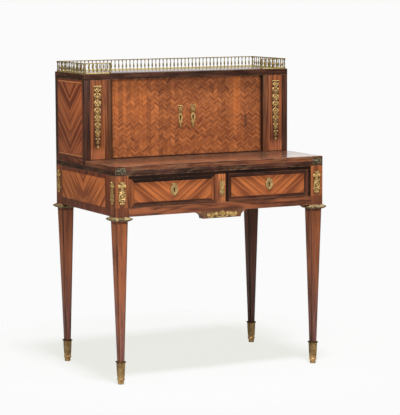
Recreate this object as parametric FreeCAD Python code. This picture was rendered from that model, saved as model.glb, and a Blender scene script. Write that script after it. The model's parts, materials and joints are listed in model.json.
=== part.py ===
"""Bonheur du jour: a small writing desk on four tapered legs, with a fold-over writing leaf, two
frieze drawers and a low cabinet closed by two tambour leaves under a pierced brass gallery.

Frame: millimetres, origin on the floor under the middle of the desk, +X to the right of someone who
sits at it, +Y to the back, +Z up. The front of the case faces -Y.
"""
import FreeCAD, Part
import math
import os

V = FreeCAD.Vector

# --- Case ---------------------------------------------------------------------------------------
case_width = 804.0
case_depth = 505.0
leg_height = 573.0            # floor to the underside of the frieze
frieze_height = 138.0         # underside of the frieze to the desk board
board_thickness = 17.0        # desk board, writing leaf and cabinet floor

# --- Legs, collars and sabots -------------------------------------------------------------------
post_side = 48.0              # square corner post in the frieze
neck_side = 47.0              # leg through the collar
ankle_side = 21.0             # leg at the rim of the sabot
neck_chamfer = 6.0
ankle_chamfer = 3.0
collar_height = 15.0
collar_reach = 14.5           # how far the collar stands out from the neck
collar_chamfer_share = 0.6    # how much the chamfer grows with the reach
collar_profile = ((0.0, 0.12), (0.3, 0.72), (0.5, 1.0), (0.68, 0.9), (1.0, 0.2))  # height, reach
sabot_height = 79.0
sabot_wall = 1.8
sabot_rim_side = 30.5
sabot_rim_height = 5.0
toe_radius = 10.4
toe_height = 12.0
toe_ring_radius = 13.6
toe_ring_height = 8.0
toe_sides = 16
toe_top_radius = 12.2         # toe where it meets the body
sabot_lip = 1.6               # upright edge of the rim
sabot_rim_chamfer = 5.5
sabot_chamfer_share = 0.6     # how much the chamfer grows with the wall of the sabot

# --- Frieze -------------------------------------------------------------------------------------
rail_thickness = 18.0         # side and back rails
bottom_rail_height = 31.0
bottom_rail_depth = 30.0
top_rail_height = 10.0
centre_stile_width = 30.0
centre_stile_depth = 20.0
apron_half_top = 92.0
apron_half_bottom = 74.0
apron_drop = 23.5
apron_step = 4.0

# --- Drawers ------------------------------------------------------------------------------------
front_gap_side = 1.0          # between a drawer front and the posts
front_gap_height = 0.7        # between a drawer front and the rails
front_thickness = 14.0
moulding_height = 7.0         # moulding frame on the drawer front, up to its crest
moulding_width = 14.0
moulding_crest = 3.0          # flat crest along the outer edge of the moulding
moulding_margin = 9.0         # flat strip between the moulding and each end of the drawer front
moulding_proud = 1.0          # crest in front of the case
moulding_steps = 4
drawer_back_clearance = 30.0  # between the back of a drawer and the back rail
drawer_side_thickness = 10.0
drawer_side_height = 80.0
drawer_side_inset = 1.0       # drawer side inside the end of its front
drawer_back_thickness = 10.0
drawer_bottom_thickness = 6.0
drawer_bottom_raise = 8.0     # bottom panel above the lower edge of the sides
drawer_back_drop = 4.0        # back below the top of the sides
running_gap = 0.3             # between what slides and what it slides on
runner_height = 14.0
runner_ledge = 18.0           # what a drawer side runs on, past the corner post
guide_height = 21.0
stop_width = 40.0
stop_length = 8.0
stop_height = 6.0
drawer_lock_width = 60.0
drawer_lock_height = 40.0
drawer_lock_thickness = 9.0
drawer_lock_drop = 5.0        # top of the lock under the top of the front

# --- Writing leaf and hinges --------------------------------------------------------------------
cabinet_depth = 255.0
leaf_back_gap = 1.0           # between the closed leaf and the cabinet
edge_round = 2.5              # rounded top edges
leather_margin_side = 45.0
leather_margin_front = 36.0
leather_thickness = 1.0
hinge_length = 38.0
hinge_plate_height = 11.0
hinge_plate_thickness = 1.6
hinge_end = 1.0               # hinge in from the end of the board
knuckle_radius = 2.6
knuckle_clearance = 0.4       # round a knuckle, in the boards and the other plate
pin_radius = 1.2
pin_clearance = 0.05
axis_forward = 0.25           # hinge axis in front of the case

# --- Cabinet ------------------------------------------------------------------------------------
cabinet_height = 316.0        # desk board to the top of the cabinet
cabinet_top_thickness = 23.0
cabinet_side_thickness = 16.0
stile_width = 100.5
stile_thickness = 14.0
cabinet_back_thickness = 10.0
liner_thickness = 11.0
shelf_thickness = 10.0
shelf_height = 138.0          # cabinet floor to the middle of the shelf
shelf_setback = 14.0          # shelf behind the slats

# --- Tambours -----------------------------------------------------------------------------------
slat_pitch = 15.6
slat_gap = 0.3
slat_thickness = 7.0
slat_arris = 0.8              # chamfer along the front edges of a slat
lead_slats = 3                # width of the leading board, in slats
tail_slats = 18               # slats behind the leading board
tongue_length = 8.0           # along the slat's width, short enough to pass the bend
tongue_thickness = 5.0
groove_depth = 6.0
groove_clearance = 0.3        # each side of a tongue
tambour_clearance = 1.5       # between a stile and the slats behind it
side_clearance = 4.5          # between a cabinet side and the slats beside it
bend_radius = 30.0
groove_end = 2.0              # from the end of the groove to the cabinet back
cloth_thickness = 0.8
liner_clearance = 1.7         # between the cloth and the liner
tambour_lock_width = 38.0
tambour_lock_height = 60.0
tambour_lock_thickness = 9.0
keeper_height = 30.0

# --- Gallery ------------------------------------------------------------------------------------
gallery_height = 36.0         # above the field of the top
gallery_inset = 8.0           # centre line of the rails in from the edges
gallery_rebate_width = 12.0   # step round the field that the gallery stands in
gallery_rebate_depth = 1.0
gallery_return = 94.0         # front returns, post to post
gallery_rail_height = 3.0
base_rail_width = 5.0
top_rail_width = 6.0
gallery_post_side = 7.0
gallery_waist_side = 4.0
baluster_pitch = 15.0
baluster_profile = ((0.0, 2.4), (0.38, 3.0), (0.76, 1.3), (1.0, 2.3))  # share of height, radius
baluster_sides = 5

# --- Mounts -------------------------------------------------------------------------------------
mount_thickness = 2.0
leaf_bulge = 2.5              # how far a leaf tip stands out from the edge of a mount
corner_mount_width = 33.0
corner_mount_height = 88.0
corner_mount_leaves = 5       # leaves up each side of a mount
stile_mount_height = 223.0
stile_mount_top = 31.0
stile_mount_tip = 18.0        # width above its lower tip
stile_mount_leaves = 10
stile_mount_rise = 8.0        # middle of the mount above the middle of the opening
stile_mount_offset = 49.0     # centre of the mount inward from the outer edge of the stile
centre_mount_width = 22.0
centre_mount_height = 70.0
centre_mount_leaves = 5
apron_mount_width = 122.0
apron_mount_height = 31.0
apron_mount_outline = ((0.45, 0.05), (0.8, 0.3), (1.0, 0.75), (0.62, 0.72), (0.28, 0.7))  # width, height
apron_mount_bulge = 1.5
apron_mount_margin = 0.5      # above the lower edge of the apron
drawer_escutcheon_width = 34.0
drawer_escutcheon_height = 49.0
drawer_escutcheon_leaves = 3
drawer_escutcheon_eye = 27.0  # keyhole above the lower tip of the escutcheon
tambour_escutcheon_width = 23.0
tambour_escutcheon_height = 92.0
tambour_escutcheon_tip = 12.6     # width above its lower tip
tambour_escutcheon_leaves = 4
tambour_escutcheon_offset = 25.0  # centre of the escutcheon from the meeting line
escutcheon_thickness = 1.5
keyhole_radius = 2.8
keyhole_slot_width = 3.2
keyhole_slot_length = 10.0
keyhole_rise = 6.0            # keyhole of a drawer above the middle of its front
keyhole_shift = 4.4           # keyhole of a drawer to the right of the middle of its front

# --- Places that follow from the sizes ------------------------------------------------------------
half_width = case_width / 2
front = -case_depth / 2
back = case_depth / 2
frieze_top = leg_height + frieze_height
desk_top = frieze_top + board_thickness
leaf_top = desk_top + board_thickness
cabinet_front = back - cabinet_depth
cabinet_top = desk_top + cabinet_height
lid_bottom = cabinet_top - cabinet_top_thickness
post_inner = half_width - post_side
post_centre_x = half_width - post_side / 2
post_centre_y = back - post_side / 2
drawer_floor = leg_height + bottom_rail_height
drawer_ceiling = frieze_top - top_rail_height
front_board_front = front - moulding_proud + moulding_height
front_board_back = front_board_front + front_thickness
drawer_back = back - rail_thickness - drawer_back_clearance
drawer_outer = post_inner - front_gap_side
drawer_inner = centre_stile_width / 2 + front_gap_side
drawer_centre = (drawer_outer + drawer_inner) / 2
side_outer = drawer_outer - drawer_side_inset
side_inner = drawer_inner + drawer_side_inset
side_bottom = drawer_floor + running_gap
stile_inner = half_width - stile_width
inside_x = half_width - cabinet_side_thickness
cabinet_back_front = back - cabinet_back_thickness
slat_front = cabinet_front + stile_thickness + tambour_clearance
slat_back = slat_front + slat_thickness
track_y = (slat_front + slat_back) / 2
track_x = inside_x - side_clearance - slat_thickness / 2
bend_x = track_x - bend_radius
bend_y = track_y + bend_radius
track_end = cabinet_back_front - groove_end
liner_nose = bend_radius - slat_thickness / 2 - cloth_thickness - liner_clearance
liner_outer = bend_x + liner_nose
liner_inner = liner_outer - liner_thickness
gallery_foot = cabinet_top - gallery_rebate_depth
gallery_top = cabinet_top + gallery_height
escutcheon_z = leaf_top + (lid_bottom - leaf_top) / 2

nodes = {}


def keep(name, *solids):
    """Files one node: a single solid, or a group of separate solids."""
    nodes[name] = solids[0] if len(solids) == 1 else Part.makeCompound(list(solids))


def box(x0, x1, y0, y1, z0, z1):
    """Block between two corners, given in any order along X."""
    low = min(x0, x1)
    return Part.makeBox(abs(x1 - x0), y1 - y0, z1 - z0, V(low, y0, z0))


def mirrored(shape):
    """The same piece on the other side of the desk."""
    return shape.mirror(V(0, 0, 0), V(1, 0, 0))


def both_sides(shape):
    """A piece and its mirror image."""
    return (mirrored(shape), shape)


def octagon(side, chamfer, z, x=0.0, y=0.0):
    """Level ring of corners: a square of the given side with its corners cut."""
    half = side / 2
    cut = half - chamfer
    corners = ((half, -cut), (half, cut), (cut, half), (-cut, half),
               (-half, cut), (-half, -cut), (-cut, -half), (cut, -half))
    return [V(x + dx, y + dy, z) for dx, dy in corners]


def round_ring(x, y, z, radius, sides):
    """Level ring of corners round a point."""
    angles = [2 * math.pi * i / sides for i in range(sides)]
    return [V(x + radius * math.cos(angle), y + radius * math.sin(angle), z) for angle in angles]


def level_square(x, y, z, side):
    """Level ring of four corners about a point."""
    half = side / 2
    return [V(x + dx, y + dy, z) for dx, dy in ((half, -half), (half, half), (-half, half), (-half, -half))]


def flat_face(points):
    """Plane face inside a ring of corners."""
    return Part.Face(Part.makePolygon(points + points[:1]))


def stack(rings):
    """Closed solid with flat sides through rings of corners whose edges run parallel."""
    faces = [flat_face(rings[0]), flat_face(rings[-1])]
    for low, high in zip(rings, rings[1:]):
        for i in range(len(low)):
            faces.append(flat_face([low[i - 1], low[i], high[i], high[i - 1]]))
    solid = Part.Solid(Part.Shell(faces))
    if solid.Volume < 0:
        solid.reverse()
    return solid


def prism(points, depth):
    """Solid from a ring of corners, pushed along the vector depth."""
    return flat_face(points).extrude(depth)


# --- Legs -----------------------------------------------------------------------------------------
def leg_at(z):
    """Side and chamfer of the leg at height z, on the taper."""
    share = (z - sabot_height) / (leg_height - collar_height - sabot_height)
    side = ankle_side + (neck_side - ankle_side) * share
    chamfer = ankle_chamfer + (neck_chamfer - ankle_chamfer) * share
    return side, chamfer


def leg(x, y):
    """One piece of wood: corner post, neck through the collar, taper, tip in the sabot."""
    tip = toe_height + toe_ring_height
    collar_bottom = leg_height - collar_height
    taper = stack([octagon(*leg_at(tip), tip, x, y), octagon(neck_side, neck_chamfer, collar_bottom, x, y)])
    neck = stack([octagon(neck_side, neck_chamfer, z, x, y) for z in (collar_bottom, leg_height)])
    half = post_side / 2
    post = box(x - half, x + half, y - half, y + half, leg_height, frieze_top)
    return post.fuse([neck, taper]).removeSplitter()


def collar(x, y):
    """Moulded octagonal brass collar that slides up the leg to the frieze."""
    rings = []
    for height, reach in collar_profile:
        out = collar_reach * reach
        z = leg_height - collar_height * (1 - height)
        rings.append(octagon(neck_side + 2 * out, neck_chamfer + collar_chamfer_share * out, z, x, y))
    hole = stack([octagon(neck_side, neck_chamfer, z, x, y)
                  for z in (leg_height - collar_height, leg_height)])
    return stack(rings).cut(hole)


def sabot(x, y):
    """Cast brass shoe: flared rim, tapered body, ring and turned toe."""
    body_bottom = toe_height + toe_ring_height
    flare_bottom = sabot_height - sabot_rim_height
    rings = []
    for z in (body_bottom, flare_bottom):
        side, chamfer = leg_at(z)
        rings.append(octagon(side + 2 * sabot_wall, chamfer + sabot_chamfer_share * sabot_wall, z, x, y))
    for z in (sabot_height - sabot_lip, sabot_height):
        rings.append(octagon(sabot_rim_side, sabot_rim_chamfer, z, x, y))
    shell = stack(rings).cut(stack([octagon(*leg_at(z), z, x, y) for z in (body_bottom, sabot_height)]))
    ring_mid = toe_height + toe_ring_height / 2
    levels = ((0, toe_radius), (toe_height, toe_radius),
              (ring_mid, toe_ring_radius), (body_bottom, toe_top_radius))
    toe = stack([round_ring(x, y, z, radius, toe_sides) for z, radius in levels])
    return shell.fuse(toe)


def build_legs():
    """Legs, collars and sabots at the four corners."""
    corners = {"front_left": (-1, -1), "front_right": (1, -1), "back_left": (-1, 1), "back_right": (1, 1)}
    places = {name: (sx * post_centre_x, sy * post_centre_y) for name, (sx, sy) in corners.items()}
    for name, place in places.items():
        keep(name + "_leg", leg(*place))
    keep("leg_collars", *[collar(*place) for place in places.values()])
    keep("leg_sabots", *[sabot(*place) for place in places.values()])


# --- Frieze ---------------------------------------------------------------------------------------
def front_bottom_rail():
    """Rail under the drawers with the shaped apron below its middle."""
    z_step = leg_height - apron_step
    z_low = leg_height - apron_drop
    hollow = apron_half_top - apron_half_bottom
    right = V(apron_half_top, front, z_step)
    low = V(apron_half_bottom, front, z_low)
    middle = V(apron_half_top - hollow * math.cos(math.pi / 4), front,
               z_low + (z_step - z_low) * math.sin(math.pi / 4))
    outline = [V(post_inner, front, drawer_floor), V(-post_inner, front, drawer_floor),
               V(-post_inner, front, leg_height), V(-apron_half_top, front, leg_height),
               V(-apron_half_top, front, z_step)]
    edges = [Part.makeLine(a, b) for a, b in zip(outline, outline[1:])]
    flip = [V(-p.x, p.y, p.z) for p in (right, middle, low)]
    edges.append(Part.Arc(*flip).toShape())
    edges.append(Part.makeLine(flip[2], low))
    edges.append(Part.Arc(low, middle, right).toShape())
    end = [right, V(apron_half_top, front, leg_height), V(post_inner, front, leg_height), outline[0]]
    edges += [Part.makeLine(a, b) for a, b in zip(end, end[1:])]
    return Part.Face(Part.Wire(edges)).extrude(V(0, bottom_rail_depth, 0))


def drawer_runner():
    """Right-hand runner: a guide against the side rail and the ledge that the drawer side runs on."""
    low = drawer_floor - runner_height
    wall = half_width - rail_thickness
    ledge_inner = post_inner - runner_ledge
    back_rail = back - rail_thickness
    ledge = box(ledge_inner, post_inner, front + bottom_rail_depth, back_rail, low, drawer_floor)
    post_gap = case_depth / 2 - post_side
    base = box(post_inner, wall, -post_gap, post_gap, low, drawer_floor)
    guide = box(side_outer + running_gap, wall, -post_gap, post_gap,
                drawer_floor, drawer_floor + guide_height)
    return ledge.fuse([base, guide]).removeSplitter()


def centre_runner():
    """Inverted T between the drawers, behind the centre stile."""
    reach = side_inner + runner_ledge
    y0 = front + bottom_rail_depth
    y1 = back - rail_thickness
    foot = box(-reach, reach, y0, y1, drawer_floor - runner_height, drawer_floor)
    web_half = side_inner - running_gap
    web = box(-web_half, web_half, y0, y1, drawer_floor, drawer_floor + guide_height)
    return foot.fuse(web).removeSplitter()


def build_frieze():
    """Rails, stile, runners and stops between the corner posts."""
    post_gap = case_depth / 2 - post_side
    side_rail = box(half_width - rail_thickness, half_width, -post_gap, post_gap, leg_height, frieze_top)
    keep("left_side_rail", mirrored(side_rail))
    keep("right_side_rail", side_rail)
    keep("back_rail", box(-post_inner, post_inner, back - rail_thickness, back, leg_height, frieze_top))
    keep("front_bottom_rail", front_bottom_rail())
    keep("front_top_rail", box(-post_inner, post_inner, front, front + post_side, drawer_ceiling, frieze_top))
    half_stile = centre_stile_width / 2
    keep("centre_stile", box(-half_stile, half_stile, front, front + centre_stile_depth,
                             drawer_floor, drawer_ceiling))
    runner = drawer_runner()
    keep("drawer_runners", mirrored(runner), centre_runner(), runner)
    stop = box(drawer_centre - stop_width / 2, drawer_centre + stop_width / 2, front_board_back,
               front_board_back + stop_length, drawer_floor, drawer_floor + stop_height)
    keep("drawer_stops", *both_sides(stop))


# --- Outlines of brass mounts -----------------------------------------------------------------------
def keyhole(x, y0, y1, z):
    """Solid that pierces a keyhole: round above, a slot below."""
    round_part = Part.makeCylinder(keyhole_radius, y1 - y0, V(x, y0, z), V(0, 1, 0))
    half = keyhole_slot_width / 2
    return round_part.fuse(box(x - half, x + half, y0, y1, z - keyhole_slot_length, z))


def leaf_tips(points, bulge):
    """Corners of an edge in the XZ plane with a leaf tip between each two points, standing out to the
    right of the way by bulge."""
    corners = []
    for start, end in zip(points, points[1:]):
        along = end - start
        out = V(along.z, 0, -along.x).normalize() * bulge
        corners += [start, (start + end) / 2 + out]
    return corners


def leafy_plate(right, bulge, thickness):
    """Plate with its back on y = 0, symmetric about x = 0, from the points of its right edge."""
    left = [V(-p.x, 0, p.z) for p in reversed(right)]
    return prism(leaf_tips(right, bulge) + leaf_tips(left, bulge), V(0, -thickness, 0))


def foliate_plate(low_width, high_width, height, leaves, thickness):
    """Tall plate on z = 0 with leaves up each side and a point at each end, as wide as low_width over
    its lower point and as high_width under its upper one."""
    step = height / (leaves + 2)
    points = []
    for i in range(leaves + 1):
        width = low_width + (high_width - low_width) * i / leaves
        points.append(V(width / 2 - leaf_bulge, 0, step * (i + 1)))
    return leafy_plate([V(0, 0, 0)] + points + [V(0, 0, height)], leaf_bulge, thickness)


def placed(plate, x, y, z=0.0, turn=0.0):
    """Copy of a plate turned about the vertical, then moved."""
    copy = plate.copy()
    copy.rotate(V(0, 0, 0), V(0, 0, 1), turn)
    copy.translate(V(x, y, z))
    return copy


def apron_mount():
    """Spreading leaves on the apron: a palmette in the middle and a wing to each side."""
    half = apron_mount_width / 2
    wing = [V(half * across, 0, apron_mount_height * up) for across, up in apron_mount_outline]
    right = [V(0, 0, 0)] + wing + [V(0, 0, apron_mount_height)]
    return leafy_plate(right, apron_mount_bulge, mount_thickness)


def build_mounts():
    """Gilt mounts on the frieze posts, the centre stile, the cabinet stiles and the apron."""
    corner = foliate_plate(corner_mount_width, corner_mount_width, corner_mount_height,
                           corner_mount_leaves, mount_thickness)
    middle = (drawer_floor + drawer_ceiling) / 2
    corner_z = middle - corner_mount_height / 2
    mounts = [placed(corner, sx * post_centre_x, front, corner_z) for sx in (-1, 1)]
    for sy in (-1, 1):
        mounts.append(placed(corner, -half_width, sy * post_centre_y, corner_z, -90))
        mounts.append(placed(corner, half_width, sy * post_centre_y, corner_z, 90))
    keep("frieze_corner_mounts", *mounts)
    centre = foliate_plate(centre_mount_width, centre_mount_width, centre_mount_height,
                           centre_mount_leaves, mount_thickness)
    keep("centre_stile_mount", placed(centre, 0, front, middle - centre_mount_height / 2))
    tall = foliate_plate(stile_mount_tip, stile_mount_top, stile_mount_height, stile_mount_leaves,
                         mount_thickness)
    tall_z = escutcheon_z + stile_mount_rise - stile_mount_height / 2
    x = half_width - stile_mount_offset
    keep("cabinet_stile_mounts", *[placed(tall, sx * x, cabinet_front, tall_z) for sx in (-1, 1)])
    keep("apron_mount", placed(apron_mount(), 0, front, leg_height - apron_drop + apron_mount_margin))


# --- Drawers ----------------------------------------------------------------------------------------
def rectangle(x0, x1, z0, z1, y, inset):
    """Upright ring of corners at the depth y, drawn in from all four sides by inset."""
    corners = ((x0 + inset, z0 + inset), (x1 - inset, z0 + inset),
               (x1 - inset, z1 - inset), (x0 + inset, z1 - inset))
    return [V(x, y, z) for x, z in corners]


def drawer_moulding(x0, x1, z0, z1):
    """Mitred frame with a hollow slope down to the panel, between flat strips at the ends."""
    crest = front_board_front - moulding_height
    frame = box(x0, x1, crest, front_board_front, z0, z1)
    start = x0 + moulding_margin
    end = x1 - moulding_margin
    rings = []
    for i in range(moulding_steps + 1):
        share = i / moulding_steps
        inset = moulding_crest + (moulding_width - moulding_crest) * share
        depth = moulding_height * math.sin(share * math.pi / 2)
        rings.append(rectangle(start, end, z0, z1, crest + depth, inset))
    return frame.cut(stack(rings))


def build_drawer(side, name):
    """One drawer. side is -1 for the left and 1 for the right; the right one is drawn, then placed."""
    z0 = drawer_floor + front_gap_height
    z1 = drawer_ceiling - front_gap_height
    eye_x = drawer_centre + side * keyhole_shift
    eye_z = (z0 + z1) / 2 + keyhole_rise

    def place(shape):
        return shape if side > 0 else mirrored(shape)

    bore = keyhole(eye_x, front_board_front - escutcheon_thickness, front_board_back, eye_z)
    board = box(drawer_inner, drawer_outer, front_board_front, front_board_back, z0, z1).cut(bore)
    keep(name + "_drawer_front", place(board))
    keep(name + "_drawer_moulding", place(drawer_moulding(drawer_inner, drawer_outer, z0, z1)))
    top = side_bottom + drawer_side_height
    wall = drawer_side_thickness
    inner_side = box(side_inner, side_inner + wall, front_board_back, drawer_back, side_bottom, top)
    outer_side = box(side_outer - wall, side_outer, front_board_back, drawer_back, side_bottom, top)
    bottom_low = side_bottom + drawer_bottom_raise
    bottom_high = bottom_low + drawer_bottom_thickness
    back_board = box(side_inner + wall, side_outer - wall, drawer_back - drawer_back_thickness, drawer_back,
                     bottom_high, top - drawer_back_drop)
    keep(name + "_drawer_frame", place(inner_side), place(outer_side), place(back_board))
    bottom = box(side_inner + wall, side_outer - wall, front_board_back, drawer_back, bottom_low, bottom_high)
    keep(name + "_drawer_bottom", place(bottom))
    plate = foliate_plate(drawer_escutcheon_width, drawer_escutcheon_width, drawer_escutcheon_height,
                          drawer_escutcheon_leaves, escutcheon_thickness)
    plate = placed(plate, eye_x, front_board_front, eye_z - drawer_escutcheon_eye)
    keep(name + "_drawer_escutcheon", place(plate.cut(bore)))
    lock_half = drawer_lock_width / 2
    lock_top = z1 - drawer_lock_drop
    lock = box(eye_x - lock_half, eye_x + lock_half, front_board_back,
               front_board_back + drawer_lock_thickness, lock_top - drawer_lock_height, lock_top)
    keep(name + "_drawer_lock", place(lock))


# --- Desk board, writing leaf and hinges ------------------------------------------------------------
def knuckle(x0, x1, radius):
    """Round bar on the hinge axis."""
    return Part.makeCylinder(radius, x1 - x0, V(x0, front - axis_forward, desk_top), V(1, 0, 0))


def hinge_spans():
    """Start, the two joints between knuckles, and end of the right-hand hinge along X."""
    end = half_width - hinge_end
    third = hinge_length / 3
    return [end - hinge_length + third * i for i in range(4)]


def hinge_plate(z0, z1):
    """Flat part of a hinge half, let into the front edge of a board."""
    x0, _, _, x1 = hinge_spans()
    return box(x0, x1, front, front + hinge_plate_thickness, z0, z1)


def knuckle_room(x0, x1):
    """Square space in which a knuckle turns."""
    half = knuckle_radius + knuckle_clearance
    axis_y = front - axis_forward
    return box(x0, x1, axis_y - half, axis_y + half, desk_top - half, desk_top + half)


def hinge_half(z0, z1, own, others):
    """Plate with its own knuckles, cleared round the others and bored for the pin."""
    plate = hinge_plate(z0, z1)
    for x0, x1 in others:
        plate = plate.cut(knuckle_room(x0 - running_gap, x1 + running_gap))
    for x0, x1 in own:
        plate = plate.fuse(knuckle(x0, x1, knuckle_radius))
    x0, _, _, x1 = hinge_spans()
    return plate.cut(knuckle(x0, x1, pin_radius + pin_clearance)).removeSplitter()


def hinge_recess(z0, z1):
    """What a board loses at the right-hand hinge: the bed of the plate and room for the knuckles."""
    x0, _, _, x1 = hinge_spans()
    return hinge_plate(z0, z1).fuse(knuckle_room(x0, x1))


def leather(y0, y1, z):
    """Leather lining, its underside at z."""
    half = half_width - leather_margin_side
    return box(-half, half, y0 + leather_margin_front, y1 - leather_margin_front, z, z + leather_thickness)


def build_boards():
    """Desk board, leaf, leather and hinges."""
    leaf_back = cabinet_front - leaf_back_gap
    desk_leather = leather(front, leaf_back, desk_top - leather_thickness)
    leaf_leather = leather(front, leaf_back, desk_top)
    low_recess = hinge_recess(desk_top - hinge_plate_height, desk_top)
    high_recess = hinge_recess(desk_top, desk_top + hinge_plate_height)
    board = box(-half_width, half_width, front, back, frieze_top, desk_top)
    board = board.cut([desk_leather, low_recess, mirrored(low_recess)])
    keep("desk_board", board)
    keep("desk_leather", desk_leather)
    leaf = box(-half_width, half_width, front, leaf_back, desk_top, leaf_top)
    leaf = leaf.makeFillet(edge_round, top_edges(leaf, leaf_top))
    keep("writing_leaf", leaf.cut([leaf_leather, high_recess, mirrored(high_recess)]))
    keep("leaf_leather", leaf_leather)
    x0, x1, x2, x3 = hinge_spans()
    gap = running_gap / 2
    outer = [(x0, x1 - gap), (x2 + gap, x3)]
    middle = [(x1 + gap, x2 - gap)]
    board_plate = hinge_half(desk_top - hinge_plate_height, desk_top, outer, middle)
    leaf_plate = hinge_half(desk_top, desk_top + hinge_plate_height, middle, outer)
    keep("board_hinge_plates", *both_sides(board_plate))
    keep("leaf_hinge_plates", *both_sides(leaf_plate))
    keep("hinge_pins", *both_sides(knuckle(x0, x3, pin_radius)))


def top_edges(shape, z):
    """The straight edges round the top face of a board, apart from the one at the back."""
    found = []
    for edge in shape.Edges:
        bounds = edge.BoundBox
        at_back = bounds.YMin > shape.BoundBox.YMax - 0.01
        if bounds.ZMin > z - 0.01 and not at_back:
            found.append(edge)
    return found


# --- Cabinet ------------------------------------------------------------------------------------------
def bend(sign, outer, inner, z0, z1):
    """Quarter of a ring round the bend of the track, on the right (1) or the left (-1)."""
    ring = Part.makeCylinder(outer, z1 - z0, V(bend_x, bend_y, z0))
    if inner > 0:
        ring = ring.cut(Part.makeCylinder(inner, z1 - z0, V(bend_x, bend_y, z0)))
    ring = ring.common(box(bend_x, bend_x + outer, bend_y - outer, bend_y, z0, z1))
    return ring if sign > 0 else mirrored(ring)


def tambour_groove(z0, z1):
    """Groove for both leaves: straight across the front, round a quarter bend, along each side."""
    half = tongue_thickness / 2 + groove_clearance
    run = box(-bend_x, bend_x, track_y - half, track_y + half, z0, z1)
    side = box(track_x - half, track_x + half, bend_y, track_end, z0, z1)
    bends = [bend(sign, bend_radius + half, bend_radius - half, z0, z1) for sign in (-1, 1)]
    return run.fuse(bends + list(both_sides(side)))


def pocket_liner():
    """Right-hand board between the inside and the slats on their way back, its nose rounded to the bend."""
    board = box(liner_inner, liner_outer, bend_y, cabinet_back_front, leaf_top, lid_bottom)
    nose = bend(1, liner_nose, 0, leaf_top, lid_bottom)
    nose = nose.common(box(liner_inner, liner_outer, bend_y - liner_nose, bend_y, leaf_top, lid_bottom))
    return board.fuse(nose).removeSplitter()


def cabinet_lid():
    """Top of the cabinet: rounded edges, a step for the gallery to stand in, the groove below."""
    lid = box(-half_width, half_width, cabinet_front, back, lid_bottom, gallery_foot)
    lid = lid.makeFillet(edge_round, top_edges(lid, gallery_foot))
    margin = gallery_rebate_width
    field = box(margin - half_width, half_width - margin, cabinet_front + margin, back - margin,
                gallery_foot, cabinet_top)
    return lid.fuse(field).cut(tambour_groove(lid_bottom, lid_bottom + groove_depth))


def build_cabinet():
    """Carcass of the cabinet on the desk board."""
    floor = box(-half_width, half_width, cabinet_front, back, desk_top, leaf_top)
    keep("cabinet_floor", floor.cut(tambour_groove(leaf_top - groove_depth, leaf_top)))
    keep("cabinet_top", cabinet_lid())
    stile = box(stile_inner, half_width, cabinet_front, cabinet_front + stile_thickness, leaf_top, lid_bottom)
    side = box(inside_x, half_width, cabinet_front + stile_thickness, back, leaf_top, lid_bottom)
    keep("left_front_stile", mirrored(stile))
    keep("right_front_stile", stile)
    keep("cabinet_left_side", mirrored(side))
    keep("cabinet_right_side", side)
    keep("cabinet_back", box(-inside_x, inside_x, cabinet_back_front, back, leaf_top, lid_bottom))
    keep("pocket_liners", *both_sides(pocket_liner()))
    shelf_z = leaf_top + shelf_height - shelf_thickness / 2
    keep("cabinet_shelf", box(-liner_inner, liner_inner, slat_back + shelf_setback, cabinet_back_front,
                              shelf_z, shelf_z + shelf_thickness))


# --- Tambours -----------------------------------------------------------------------------------------
def tambour_strip(x0, count, tongue):
    """Board as wide as count slats, from x0 outward on the right, with a tongue at each end."""
    z0 = leaf_top + running_gap
    z1 = lid_bottom - running_gap
    width = slat_pitch * count - slat_gap
    low = x0 + slat_gap / 2
    high = low + width
    points = [V(high, slat_back, z0), V(low, slat_back, z0)]
    for i in range(count):
        a = x0 + slat_pitch * i + slat_gap / 2
        b = x0 + slat_pitch * (i + 1) - slat_gap / 2
        points += [V(a, slat_front + slat_arris, z0), V(a + slat_arris, slat_front, z0),
                   V(b - slat_arris, slat_front, z0), V(b, slat_front + slat_arris, z0)]
    body = prism(points, V(0, 0, z1 - z0))
    middle = (low + high) / 2
    half = tongue_thickness / 2
    tongue_reach = groove_depth - running_gap
    rod = box(middle - tongue / 2, middle + tongue / 2, track_y - half, track_y + half,
              leaf_top - tongue_reach, lid_bottom + tongue_reach)
    return body.fuse(rod).removeSplitter()


def build_tambour(side, name):
    """One leaf. side is -1 for the left and 1 for the right; the right one is drawn, then placed."""
    def place(shape):
        return shape if side > 0 else mirrored(shape)

    lead_width = slat_pitch * lead_slats
    x = tambour_escutcheon_offset
    bore = keyhole(x, slat_front - escutcheon_thickness, slat_back, escutcheon_z)
    lead = tambour_strip(0.0, lead_slats, lead_width - 2 * slat_arris - slat_gap)
    keep(name + "_tambour_lead", place(lead.cut(bore)))
    slats = [place(tambour_strip(lead_width + slat_pitch * i, 1, tongue_length)) for i in range(tail_slats)]
    cloth = box(lead_width + slat_gap, lead_width + slat_pitch * tail_slats - slat_gap, slat_back,
                slat_back + cloth_thickness, leaf_top + groove_depth, lid_bottom - groove_depth)
    keep(name + "_tambour_slats", *slats, place(cloth))
    plate = foliate_plate(tambour_escutcheon_tip, tambour_escutcheon_width, tambour_escutcheon_height,
                          tambour_escutcheon_leaves, escutcheon_thickness)
    plate = placed(plate, x, slat_front, escutcheon_z - tambour_escutcheon_height / 2)
    keep(name + "_tambour_escutcheon", place(plate.cut(bore)))
    lock_x = (lead_width - tambour_lock_width) / 2
    lock_height = tambour_lock_height if side > 0 else keeper_height
    lock = box(lock_x, lock_x + tambour_lock_width, slat_back, slat_back + tambour_lock_thickness,
               escutcheon_z - lock_height / 2, escutcheon_z + lock_height / 2)
    keep("right_tambour_lock" if side > 0 else "left_tambour_keeper", place(lock))


# --- Gallery ------------------------------------------------------------------------------------------
def baluster(x, y):
    """Turned brass baluster between the two rails."""
    foot = gallery_foot + gallery_rail_height
    length = gallery_top - gallery_rail_height - foot
    return stack([round_ring(x, y, foot + share * length, radius, baluster_sides)
                  for share, radius in baluster_profile])


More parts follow.
